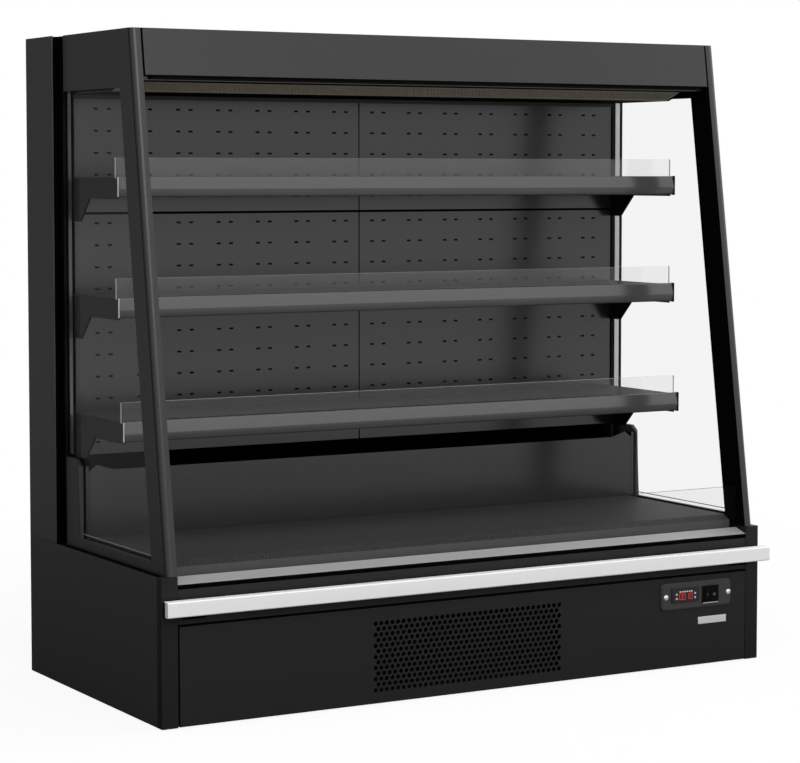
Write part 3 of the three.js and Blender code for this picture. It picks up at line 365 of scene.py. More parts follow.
# Anodised aluminium extrusion: bright, with fine drawing lines along its length. The real lines are about 0.1 mm
# apart, and they are drawn coarser so that they show.
BUMPER_METAL = Finish(
    "satin_anodised_aluminium", "#f0f0f0", "#ebebeb", 0.5, 0.35, 0.002, Grain.DRAWN, metallic=0.2
)
SILL_METAL = Finish("brushed_anodised_sill", "#9d9f9f", "#979999", 0.5, 0.4, 0.002, Grain.DRAWN, metallic=0.2)
BADGE_METAL = Finish(
    "brushed_aluminium_plate", "#e6e6e6", "#dcdcdc", 0.4, 0.3, 0.003, Grain.DRAWN, metallic=0.5
)
# Zinc-plated screw heads: small bright domes. The same finish makes the strip under the switch bezel, a painted
# highlight.
SCREW_AND_HIGHLIGHT_METAL = Finish("polished_zinc_plated_steel", "#f0f0f0", "#e8e8e8", 0.3, 0.6, 0.002, metallic=0.5)
# Galvanised sheet: dull grey with spangles about a centimetre wide.
ZINC_STEEL = Finish("galvanised_steel_sheet", "#5d5f60", "#525455", 0.5, 9.0, 0.02, metallic=1.0)
# Coil fins: mill aluminium in the cold coil, and black enamel in the warm one and its fan shroud, which hides them
# behind the grille: their black is also painted shade, so the grille's holes read dark.
FIN_METAL = Finish("mill_finish_aluminium_fins", "#b9bcbe", "#aeb1b3", 0.4, 2.0, 0.01, metallic=1.0)
FINS_IN_SHADE = Finish("black_enamelled_fins", "#0a0a0a", "#0d0d0d", 0.6, 2.0, 0.01, specular=0.05)
# Extruded PVC: smooth and semi-gloss, in two flats that meet at a crease. The lower flat is a copy with a weaker
# specular level, so it mirrors less and reads darker: painted shade.
RAIL_PLASTIC = Finish("extruded_grey_pvc", "#3f3f3f", "#414141", 0.16, 2.5, 0.0006, specular=1.0, spread=0.01)
LOWER_FLAT_SHADE = Finish(
    "extruded_grey_pvc_lower_flat", "#3f3f3f", "#414141", 0.2, 2.5, 0.0006, specular=0.3, spread=0.01
)
# Moulded nylon: the rails' ends, a fine even texture, black on the right. The thin white strip on the left end is
# a painted highlight.
RAIL_END_HIGHLIGHT = Finish("moulded_white_nylon", "#f2f2f2", "#eeeeee", 0.4, 0.8, 0.002)
CAP_PLASTIC = Finish("moulded_black_nylon", "#080808", "#0b0b0b", 0.5, 0.8, 0.004, specular=0.05)
# Extruded polycarbonate cells: a grey brown net over black.
CELL_PLASTIC = Finish("extruded_grey_brown_polycarbonate", "#968e80", "#888074", 0.6, 3.0, 0.004, specular=0.2)
# The controls: an enamelled plate, a glossy facia, soft pale keys and a switch that is blacker than the plate.
PLATE_COAT = Finish("satin_grey_enamelled_plate", "#3a3a3a", "#3c3c3c", 0.36, 1.2, 0.003, specular=0.3)
FACIA_PLASTIC = Finish("gloss_charcoal_abs", "#2c2c2e", "#303032", 0.14, 3.0, 0.0006, specular=0.3)
KEY_RUBBER = Finish("moulded_pale_silicone", "#c4c8cb", "#bcc0c3", 0.5, 0.6, 0.004)
SWITCH_PLASTIC = Finish("moulded_black_polycarbonate", "#050505", "#070707", 0.3, 0.8, 0.002, specular=0.12)
MARK_PAINT = Finish("pad_printed_pale_grey", "#8e8e8e", "#888888", 0.6, 0.8, 0.003)
DISPLAY_RED = GlowFinish("lit_red_segments", "#e8352c", 1.1)
DISPLAY_WHITE = GlowFinish("lit_pale_symbols", "#c4cace", 0.9)
# Machinery: moulded fans with a coarse texture, and a compressor under thick gloss enamel.
FAN_PLASTIC = Finish("moulded_black_polypropylene", "#1a1a1a", "#202020", 0.5, 1.5, 0.008)
MACHINE_ENAMEL = Finish("gloss_black_machine_enamel", "#141414", "#191919", 0.3, 3.0, 0.02)
# Smoked acrylic over the lamp, which is off: nearly black.
LAMP_PLASTIC = Finish("smoked_lamp_cover", "#0d0c0a", "#100e0c", 0.5, 1.5, 0.002, specular=0.05)
# Float glass and acrylic: nearly colourless. The risers' edges are painted pale, a painted highlight, and the
# edges of the panes and the deck riser, in their channels, are painted dark, a painted shade.
PANE_GLASS = ClearFinish("clear_float_glass", "#fbfbfb", 0.01, 0.4, 0.002)
# One acrylic, given a lower reflectance the lower a riser stands, since it mirrors less of the bright studio
# towards a standing viewer: a painted reflection.
RISER_SHEETS = {
    "shelf_riser_1": ClearFinish("clear_acrylic_sheet_upper", "#fafafa", 0.036, 0.5, 0.004),
    "shelf_riser_2": ClearFinish("clear_acrylic_sheet_middle", "#fafafa", 0.027, 0.5, 0.004),
    "shelf_riser_3": ClearFinish("clear_acrylic_sheet_lower", "#fafafa", 0.019, 0.5, 0.004),
    "deck_riser": ClearFinish("clear_acrylic_sheet_deck", "#fafafa", 0.001, 0.5, 0.002),
}
EDGE_HIGHLIGHT = Finish("polished_sheet_edge", "#f6f6f6", "#f0f0f0", 0.25, 2.0, 0.002)
SHADED_EDGE = Finish("sawn_sheet_edge", "#0c0c0c", "#101010", 0.5, 2.0, 0.002, specular=0.1)
# Ceramic frit along a pane's rear edge: a grey band that lets some of the light behind it through.
GLAZING_BAND = ClearFinish("frosted_glazing_band", "#808080", 0.02, 0.4, 1.0, "#d6d6d6", True)
# Extruded bead under a pane: a thin pale line, whose paleness is a painted highlight along the window's lower
# edge.
BEAD_HIGHLIGHT = Finish("pale_glazing_bead", "#8c8c8c", "#868686", 0.4, 1.0, 0.002)


# ---------------------------------------------------------------- modelling helpers


class Pick(Enum):
    """What an edit-mode selection is made of."""

    VERT = "verts"
    EDGE = "edges"
    FACE = "faces"


def activate(piece: bpy.types.Object) -> None:
    """Selects one object only, and makes it the active one.

    Args:
        piece: The object.
    """
    bpy.ops.object.select_all(action="DESELECT")
    piece.select_set(True)
    bpy.context.view_layer.objects.active = piece


@contextmanager
def editing(piece: bpy.types.Object) -> Iterator[None]:
    """Holds a piece in edit mode, with all of it selected at the start.

    Args:
        piece: The piece.

    Yields:
        Nothing.
    """
    activate(piece)
    bpy.ops.object.mode_set(mode="EDIT")
    bpy.ops.mesh.select_all(action="SELECT")
    try:
        yield
    finally:
        bpy.ops.object.mode_set(mode="OBJECT")


def pick(piece: bpy.types.Object, kind: Pick, test: Callable[[Element], bool]) -> int:
    """Selects the elements that pass a test, and nothing else, in edit mode.

    Args:
        piece: The piece in edit mode.
        kind: Vertices, edges or faces.
        test: Says whether an element is wanted.

    Returns:
        How many were selected.
    """
    bpy.ops.mesh.select_mode(type=kind.name)
    bpy.ops.mesh.select_all(action="DESELECT")
    mesh = bmesh.from_edit_mesh(piece.data)
    wanted = [element for element in getattr(mesh, kind.value) if test(element)]
    for element in wanted:
        element.select_set(True)
    mesh.select_flush_mode()
    bmesh.update_edit_mesh(piece.data)
    return len(wanted)


def middle(element: Element) -> Vector:
    """Returns the middle of an edge or a face."""
    points = [vertex.co for vertex in element.verts]
    return sum(points, Vector()) / len(points)


def shape(piece: bpy.types.Object, kind: str, **settings: Any) -> bpy.types.Object:
    """Adds a modifier to a piece and applies it.

    Args:
        piece: The piece.
        kind: The modifier's type.
        settings: Its properties.

    Returns:
        The same piece.
    """
    modifier = piece.modifiers.new(kind.lower(), kind)
    for name, value in settings.items():
        setattr(modifier, name, value)
    activate(piece)
    bpy.ops.object.modifier_apply(modifier=modifier.name)
    return piece


def round_edges(piece: bpy.types.Object, radius_mm: float, segments: int = 2) -> bpy.types.Object:
    """Rounds a piece's sharp edges and evens its shading.

    Args:
        piece: The piece.
        radius_mm: Radius of the rounding.
        segments: Faces across it.

    Returns:
        The same piece.
    """
    if radius_mm > 0:
        shape(
            piece,
            "BEVEL",
            width=radius_mm * MM,
            segments=segments,
            limit_method="ANGLE",
            angle_limit=SHARP,
            use_clamp_overlap=True,
        )
    activate(piece)
    bpy.ops.object.shade_smooth_by_angle(angle=CREASE)
    return shape(piece, "WEIGHTED_NORMAL", keep_sharp=True)


def settle(piece: bpy.types.Object, name: str) -> bpy.types.Object:
    """Names a piece and moves its place into its mesh.

    Args:
        piece: The piece.
        name: Its name.

    Returns:
        The same piece.
    """
    piece.name = name
    piece.data.name = name
    activate(piece)
    bpy.ops.object.transform_apply(location=True, rotation=True, scale=True)
    return piece


def block(name: str, corner: Sequence[float], opposite: Sequence[float], radius_mm: float) -> bpy.types.Object:
    """Makes a bar or plate between two opposite corners, with rounded edges.

    Args:
        name: The piece's name.
        corner: One corner.
        opposite: The corner opposite to it.
        radius_mm: Radius of its edges.

    Returns:
        The piece.
    """
    spans = [sorted(ends) for ends in zip(corner, opposite)]
    bpy.ops.mesh.primitive_cube_add(size=1, location=[sum(ends) / 2 for ends in spans])
    piece = bpy.context.active_object
    piece.scale = [high - low for low, high in spans]
    settle(piece, name)
    return round_edges(piece, radius_mm)


def rectangle(name: str, low: Pair, high: Pair) -> bpy.types.Object:
    """Makes a flat rectangle in the XZ plane.

    Args:
        name: Its name.
        low: Its lowest X and Z.
        high: Its highest X and Z.

    Returns:
        The rectangle.
    """
    x, z = ((a + b) / 2 for a, b in zip(low, high))
    bpy.ops.mesh.primitive_plane_add(size=1, location=(x, 0, z), rotation=(math.pi / 2, 0, 0))
    sheet = bpy.context.active_object
    sheet.scale = (high[0] - low[0], high[1] - low[1], 1)
    return settle(sheet, name)


def joined(name: str, pieces: Sequence[bpy.types.Object]) -> bpy.types.Object:
    """Joins pieces into one object.

    Args:
        name: The name of the whole.
        pieces: Its pieces.

    Returns:
        The joined object.
    """
    activate(pieces[0])
    for piece in pieces[1:]:
        piece.select_set(True)
    bpy.ops.object.join()
    pieces[0].name = name
    pieces[0].data.name = name
    return pieces[0]


class Hole(Enum):
    """The outline of a hole, as its number of corners."""

    HEXAGONAL = 6
    ROUND = 12


def honeycombed(columns: int, rows: int, pitch: float, radius: float, hole: Hole) -> bpy.types.Object:
    """Makes a flat field of holes in staggered rows, in the XZ plane about the origin.

    Each hole sits in its own hexagon of sheet, so neighbouring cells share their corners.

    Args:
        columns: Holes in an odd row; an even row has one less.
        rows: Rows of holes, an odd number.
        pitch: Distance between neighbouring holes.
        radius: Radius of a hole, to its corners.
        hole: Its outline.

    Returns:
        The field, with an open zigzag edge.
    """
    row_pitch = pitch * math.sqrt(3) / 2
    bpy.ops.mesh.primitive_circle_add(vertices=hole.value, radius=radius, rotation=(math.pi / 2, 0, 0))
    cell = settle(bpy.context.active_object, "cell")
    reach = pitch / 2 if hole is Hole.ROUND else pitch / math.sqrt(3)

    def is_hexagon_corner(vertex: Element) -> bool:
        """Says whether a point of the outer ring lies towards a corner of the cell's hexagon."""
        turns = math.atan2(vertex.co.x, vertex.co.z) / (math.pi / 3)
        return vertex.co.length > (radius + reach) / 2 and abs(turns - round(turns)) < 0.1

    with editing(cell):
        bpy.ops.mesh.extrude_region()
        bpy.ops.transform.resize(value=(reach / radius,) * 3, center_override=(0, 0, 0))
        if hole is Hole.ROUND:
            pick(cell, Pick.VERT, is_hexagon_corner)
            bpy.ops.transform.resize(value=(2 / math.sqrt(3),) * 3, center_override=(0, 0, 0))
    bpy.ops.object.duplicate()
    second = bpy.context.active_object
    fields = []
    merge = {"use_merge_vertices": True, "merge_threshold": NEAR}
    steps = {"use_relative_offset": False, "use_constant_offset": True, **merge}
    for piece, across, up, shift in ((cell, columns, (rows + 1) // 2, 0), (second, columns - 1, rows // 2, 1)):
        shape(piece, "ARRAY", count=across, constant_offset_displace=(pitch, 0, 0), **steps)
        shape(piece, "ARRAY", count=up, constant_offset_displace=(0, 0, 2 * row_pitch), **steps)
        left, bottom = (shift - columns + 1) * pitch / 2, (shift - (rows - 1) / 2) * row_pitch
        piece.location = (left, 0, bottom)
        fields.append(settle(piece, "field"))
    sheet = joined("field", fields)
    with editing(sheet):
        bpy.ops.mesh.remove_doubles(threshold=MERGE)
        bpy.ops.mesh.normals_make_consistent(inside=False)
    return sheet


def perforated(name: str, holes: bpy.types.Object, side: float, low: Pair, high: Pair) -> bpy.types.Object:
    """Fills the sheet between a field of holes and a rectangle round it, in the XZ plane.

    Args:
        name: The sheet's name.
        holes: The field, already in place.
        side: Length of the edges round the field, which are longer than those of its holes.
        low: Lowest X and Z of the rectangle.
        high: Highest X and Z of the rectangle.

    Returns:
        The whole flat sheet.
    """
    outline = rectangle("outline", low, high)
    with editing(outline):
        bpy.ops.mesh.delete(type="ONLY_FACE")
    sheet = joined(name, [holes, outline])
    with editing(sheet):
        pick(sheet, Pick.EDGE, lambda e: len(e.link_faces) < 2 and e.calc_length() > side * 0.97)
        bpy.ops.mesh.fill(use_beauty=False)
        bpy.ops.mesh.select_all(action="SELECT")
        bpy.ops.mesh.normals_make_consistent(inside=False)
        flip_towards(sheet, Vector((0, -1, 0)))
    return sheet


def split(*planes: tuple[float, float, float, str]) -> None:
    """Cuts faces along planes, without opening the mesh, in edit mode.

    Args:
        planes: A point on each plane, and the axis that it is square to.
    """
    for x, y, z, axis in planes:
        bpy.ops.mesh.select_all(action="SELECT")
        bpy.ops.mesh.bisect(plane_co=(x, y, z), plane_no=[float(axis == name) for name in "XYZ"])


def flip_towards(piece: bpy.types.Object, direction: Vector) -> None:
    """Flips a flat sheet in edit mode if it faces away from a direction.

    Args:
        piece: The sheet.
        direction: Where its face should look.
    """
    mesh = bmesh.from_edit_mesh(piece.data)
    mesh.normal_update()
    facing = sum((face.normal * face.calc_area() for face in mesh.faces), Vector())
    if facing.dot(direction) < 0:
        bpy.ops.mesh.select_all(action="SELECT")
        bpy.ops.mesh.flip_normals()


def slotted(
    name: str, low: Pair, high: Pair, columns: Sequence[Pair], rows: Sequence[Pair]
) -> bpy.types.Object:
    """Makes a flat sheet in the XZ plane with a grid of slots cut out of it.

    Args:
        name: The sheet's name.
        low: Its lowest X and Z.
        high: Its highest X and Z.
        columns: Left and right of each column of slots.
        rows: Bottom and top of each row of slots.

    Returns:
        The sheet.
    """

    def is_slot(face: Element) -> bool:
        """Says whether a face lies in a column and in a row."""
        spot = middle(face)
        return any(a < spot.x < b for a, b in columns) and any(a < spot.z < b for a, b in rows)

    sheet = rectangle(name, low, high)
    with editing(sheet):
        split(*((x, 0, 0, "X") for ends in columns for x in ends))
        split(*((0, 0, z, "Z") for ends in rows for z in ends))
        pick(sheet, Pick.FACE, is_slot)
        bpy.ops.mesh.delete(type="FACE")
    return sheet


def fold_back(sheet: bpy.types.Object, low: Vector, high: Vector, radius_mm: float) -> None:
    """Folds a flat sheet's four edges to the back, with rounded bends, and moves it to its place.

    Args:
        sheet: A flat sheet in the XZ plane.
        low: Lowest corner of the folded piece.
        high: Highest corner of the folded piece.
        radius_mm: Outer radius of the bends.
    """

    def on_rim(point: Vector) -> bool:
        """Says whether a point lies on the sheet's outer edge."""
        gaps = (point.x - low.x, point.x - high.x, point.z - low.z, point.z - high.z)
        return min(abs(gap) for gap in gaps) < NEAR

    def is_bend(edge: Element) -> bool:
        """Says whether an edge joins the sheet's front to one of its folds."""
        return on_rim(middle(edge)) and abs(middle(edge).y) < NEAR and len(edge.link_faces) == 2

    with editing(sheet):
        pick(sheet, Pick.EDGE, lambda e: len(e.link_faces) == 1 and on_rim(middle(e)))
        bpy.ops.mesh.extrude_region()
        bpy.ops.transform.translate(value=(0, high.y - low.y, 0))
        pick(sheet, Pick.EDGE, is_bend)
        bpy.ops.mesh.bevel(offset=radius_mm * MM, segments=3, affect="EDGES")
    sheet.location = (0, low.y, 0)
    settle(sheet, sheet.name)


def paint(piece: bpy.types.Object, finish: Surface, test: Callable[[Vector, Vector], bool]) -> None:
    """Gives some of a piece's faces another finish.

    Args:
        piece: The piece, which has its main finish.
        finish: The other finish.
        test: Says from a face's middle and normal whether it gets it.
    """
    piece.data.materials.append(finish.material())
    index = len(piece.data.materials) - 1
    for face in piece.data.polygons:
        if test(face.center, face.normal):
            face.material_index = index


def clear_pane(piece: bpy.types.Object, across: Vector, edge: Finish = EDGE_HIGHLIGHT) -> None:
    """Gives the narrow faces of a clear sheet a painted edge, by default a pale painted highlight.

    Args:
        piece: The sheet.
        across: Direction through the sheet.
        edge: The finish of its edge, a painted highlight or painted shade.
    """
    paint(piece, edge, lambda centre, normal: abs(normal.dot(across)) < SQUARE)


def faces_across(node: str, side: Side) -> Pair:
    """Returns the X of a node's two outermost places at one end of the cabinet, the inner one first."""
    low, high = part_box(node)
    return (low.x, high.x) if side is Side.RIGHT else (high.x, low.x)


# ---------------------------------------------------------------- sub-assemblies


@dataclass
class SubAssembly:
    """A group of pieces that is dressed together.

    Attributes:
    """

    frame: dict[str, Any]

    def slot_of(self, node: str) -> str:
        """Returns the record's material slot of a node."""
        return next(s["material_slot"] for s in self.frame["record"]["subparts"] if s["node"] == node)

    def body_of(self, node: str) -> str:
        """Returns the body that a node rides on."""
        bodies = self.frame["record"]["behaviour"]["bodies"]
        return next(body for body, nodes in bodies.items() if node in nodes)

    def place(self, piece: bpy.types.Object, finish: Surface, like: str, *replaced: str) -> bpy.types.Object:
        """Gives a piece its finish and body, and reports it; its slot is looked up but not given to it.

        Args:
            piece: The piece.
            finish: Its finish.
            like: The node whose body it takes, and whose slot is looked up.
            replaced: Nodes that it stands for.

        Returns:
            The same piece.
        """
        piece.data.materials.clear()
        piece.data.materials.append(finish.material())
        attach(piece, self.body_of(like))
        self.slot_of(like)
        if replaced:
            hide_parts(*replaced)
        LOG.info("%s: %d faces, %s", piece.name, len(piece.data.polygons), finish.name)
        return piece

    def dress(
        self,
        node: str,
        finish: Surface,
        radius_mm: float = 0.6,
        segments: int = 2,
        work: Callable[[bpy.types.Object], None] | None = None,
    ) -> bpy.types.Object:
        """Replaces a node by a merged copy with rounded edges and a finish.

        Args:
            node: The node.
            finish: Its finish.
            radius_mm: Radius of its edges.
            segments: Faces across each edge.
            work: More work on the copy in edit mode, before its edges are rounded.

        Returns:
            The new piece.
        """
        mesh = self.frame["nodes"][node].data.copy()
        piece = bpy.data.objects.new(f"{node}_finished", mesh)
        mesh.name = piece.name
        bpy.context.scene.collection.objects.link(piece)
        activate(piece)
        bpy.ops.mesh.customdata_custom_splitnormals_clear()
        with editing(piece):
            bpy.ops.mesh.remove_doubles(threshold=WELD)
            bpy.ops.mesh.dissolve_limited(angle_limit=FLAT)
            if work:
                work(piece)
        round_edges(piece, radius_mm, segments)
        return self.place(piece, finish, node, node)

    def coat(self, node: str, finish: Surface) -> None:
        """Gives a node that stays as it is a finish.

        Args:
            node: The node.
            finish: Its finish.
        """
        materials = self.frame["nodes"][node].data.materials
        materials.clear()
        materials.append(finish.material())
        LOG.info("%s: kept, %s", node, finish.name)

@dataclass
class Base(SubAssembly):
    """The machine base: side panels, posts, fascia, bumper, sill and the perforated front panel."""

    sheet_mm: float = 1.5
    bend_mm: float = 1.2  # outer radius of the front panel's folds
    hole_mm: float = 10.0
    hole_pitch_mm: float = 13.57
    hole_columns: int = 35
    hole_rows: int = 13
    grille_x_mm: float = -28.2
    grille_z_mm: float = 102.0
    reveal_mm: float = 2.0  # the fascia is black from this far in front of the front panel
    bright_share: float = 0.6  # front part of the bumper's ends that isn't black
    screen_half_mm: float = 690.0
    screen_low_mm: float = 45.0
    screen_high_mm: float = 200.0
    screen_gap_mm: float = 0.4
    screen_sheet_mm: float = 1.2

    def build(self) -> None:
        """Builds and dresses the base."""
        for side in Side:
            # The sides get the coat's lightest copy and the corner posts its darkest: painted light and shade.
            panel = self.dress(f"base_side_{side.label}", SIDE_COAT, 0.8)
            # The top ledge of each side panel is painted shade black.
            paint(panel, SHADE_BLACK, lambda centre, normal: normal.z > SQUARE)
            self.dress(f"corner_post_{side.label}", POST_COAT, 0.8)
        self.dress("base_back_cover", BASE_COAT, 0.5)
        self.louvre_screen()
        fascia = self.dress("front_fascia", BASE_COAT, 0.7)
        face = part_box("front_panel")[0].y - self.reveal_mm * MM
        # The fascia's front, behind the bumper, is painted shade black.
        paint(fascia, SHADE_BLACK, lambda centre, normal: centre.y < face)
        self.bumper()
        sill = self.dress("front_sill", SILL_METAL, 0.3)
        # All of the sill but its top is painted shade black.
        paint(sill, SHADE_BLACK, lambda centre, normal: normal.z < LEANING)
        self.front_panel()

    def louvre_screen(self) -> None:
        """Builds a black sheet behind the rear cover's louvres, a painted shade, so nothing is seen through the
        base.
        """
        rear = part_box("base_back_cover")[0].y - self.screen_gap_mm * MM
        front = rear - self.screen_sheet_mm * MM
        half, low, high = (size * MM for size in (self.screen_half_mm, self.screen_low_mm, self.screen_high_mm))
        screen = block("louvre_screen", (-half, front, low), (half, rear, high), 0.3)
        self.place(screen, SHADE_BLACK, "base_back_cover")

    def bumper(self) -> None:
        """Dresses the bumper rail, whose ends are painted shade black behind their bright front part."""
        low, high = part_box("bumper_rail")
        end = low.y + self.bright_share * (high.y - low.y)
        rail = self.dress("bumper_rail", BUMPER_METAL, 0.8, 3, lambda piece: split((0, end, 0, "Y")))
        paint(rail, SHADE_BLACK, lambda centre, normal: abs(normal.x) > LEANING and centre.y > end)

    def front_panel(self) -> None:
        """Builds the front panel: a folded sheet with a field of round holes."""
        low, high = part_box("front_panel")
        pitch = self.hole_pitch_mm * MM
        holes = honeycombed(self.hole_columns, self.hole_rows, pitch, self.hole_mm * MM / 2, Hole.ROUND)
        holes.location = (self.grille_x_mm * MM, 0, self.grille_z_mm * MM)
        settle(holes, "holes")
        side = pitch / math.sqrt(3) / 2
        panel = perforated("front_panel_finished", holes, side, (low.x, low.z), (high.x, high.z))
        fold_back(panel, low, high, self.bend_mm)
        shape(panel, "SOLIDIFY", thickness=self.sheet_mm * MM, offset=-1)
        self.place(round_edges(panel, 0), BASE_COAT, "front_panel", "front_panel")


@dataclass
class Carcass(SubAssembly):
    """The cabinet's body: rear body, end frames with their panes, roof and header."""

    skin_mm: float = 5.0  # width of the rear body's coated skin at either side
    core_rear_mm: float = 340.0  # the rear body is black inside, in front of this
    joint_mm: float = 4.0
    lip_mm: float = 2.5
    post_radius_mm: float = 12.0
    front_lean: float = 0.35  # faces that lean forward by more than this match the header
    groove_lean: Pair = (0.95, 0.995)  # the first strip of the post's rounding, which reads as a dark line
    foot_front_mm: float = 110.0
    band_front_mm: float = 187.0
    band_rear_mm: float = 205.0
    band_low_mm: float = 505.0
    film_mm: float = 0.12
    bead_front_mm: float = -240.0
    bead_rear_mm: float = 140.0
    bead_base_mm: float = 338.0
    bead_height_mm: float = 2.0
    bead_depth_mm: float = 1.2

    def build(self) -> None:
        """Builds and dresses the body."""
        self.rear_body()
        self.dress("roof_panel", END_COAT, 0.5)
        self.header()
        for side in Side:
            self.end_frame(side)
            clear_pane(self.dress(f"end_glass_{side.label}", PANE_GLASS, 0.5), Vector((1, 0, 0)), SHADED_EDGE)
            self.glazing(side)

    def rear_body(self) -> None:
        """Dresses the rear body, whose faces inside the cabinet are painted shade black."""
        body = self.dress("insulated_rear_body", BODY_COAT, 0.6)
        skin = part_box("insulated_rear_body")[1].x - self.skin_mm * MM
        rear = self.core_rear_mm * MM
        paint(
            body,
            SHADE_BLACK,
            lambda centre, normal: abs(centre.x) < skin and centre.y < rear and normal.z < LEANING,
        )

    def header(self) -> None:
        """Dresses the header, painted shade black in strips at both ends and along its lower edge and on its
        underside, where the gaps to the posts and the canopy are in shade.
        """
        low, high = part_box("header_panel")
        end = high.x - self.joint_mm * MM
        lip = low.z + self.lip_mm * MM
        cuts = ((end, 0, 0, "X"), (-end, 0, 0, "X"), (0, 0, lip, "Z"))
        header = self.dress("header_panel", HEADER_COAT, 0.5, work=lambda piece: split(*cuts))
        paint(
            header,
            SHADE_BLACK,
            lambda centre, normal: abs(centre.x) > end or centre.z < lip or normal.z < -LEANING,
        )

    def end_frame(self, side: Side) -> None:
        """Dresses an end frame, whose post has a wide rounding along its outer front edge.

        Args:
            side: The end of the cabinet.
        """
        sign, foot = side.value, self.foot_front_mm * MM
        groove_low, groove_high = self.groove_lean

        def work(piece: bpy.types.Object) -> None:
            """Rounds the post's outer front edge and parts the rear foot's side from the post's.

            Args:
                piece: The end frame in edit mode.
            """
            pick(
                piece,
                Pick.EDGE,
                lambda e: len(e.link_faces) == 2
                and min(f.normal.y for f in e.link_faces) < -SQUARE
                and max(sign * f.normal.x for f in e.link_faces) > SQUARE,
            )
            bpy.ops.mesh.bevel(offset=self.post_radius_mm * MM, segments=6, affect="EDGES")
            split((0, foot, 0, "Y"))

        frame = self.dress(f"end_frame_{side.label}", END_COAT, work=work)
        # The inner side in front of the foot is painted shade black.
        paint(frame, SHADE_BLACK, lambda centre, normal: sign * normal.x < -SQUARE and centre.y < foot)
        # The inner side behind the foot gets a lighter grey: painted light.
        paint(frame, FOOT_SIDE_LIGHT, lambda centre, normal: sign * normal.x < -SQUARE and centre.y > foot)
        # Faces that lean forward get the header's copy of the coat, whose colour and gloss carry painted light.
        paint(frame, HEADER_COAT, lambda centre, normal: normal.y < -self.front_lean)
        paint(
            frame,
            GROOVE_COAT,
            lambda centre, normal: groove_low < sign * normal.x < groove_high and normal.y < -0.1,
        )

    def glazing(self, side: Side) -> None:
        """Builds the frosted band along a pane's rear edge, and the pale bead under the pane, whose colour is a
        painted highlight.

        Args:
            side: The end of the cabinet.
        """
        inner, outer = faces_across(f"end_glass_{side.label}", side)
        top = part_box(f"end_glass_{side.label}")[1].z - MM
        out = side.value * MM
        band = block(
            f"glazing_band_{side.label}",
            (inner, self.band_front_mm * MM, self.band_low_mm * MM),
            (inner - out * self.film_mm, self.band_rear_mm * MM, top),
            0,
        )
        self.place(band, GLAZING_BAND, f"end_glass_{side.label}")
        base = self.bead_base_mm * MM
        bead = block(
            f"glazing_bead_{side.label}",
            (outer, self.bead_front_mm * MM, base),
            (outer + out * self.bead_depth_mm, self.bead_rear_mm * MM, base + self.bead_height_mm * MM),
            0.3,
        )
        self.place(bead, BEAD_HIGHLIGHT, f"end_frame_{side.label}")


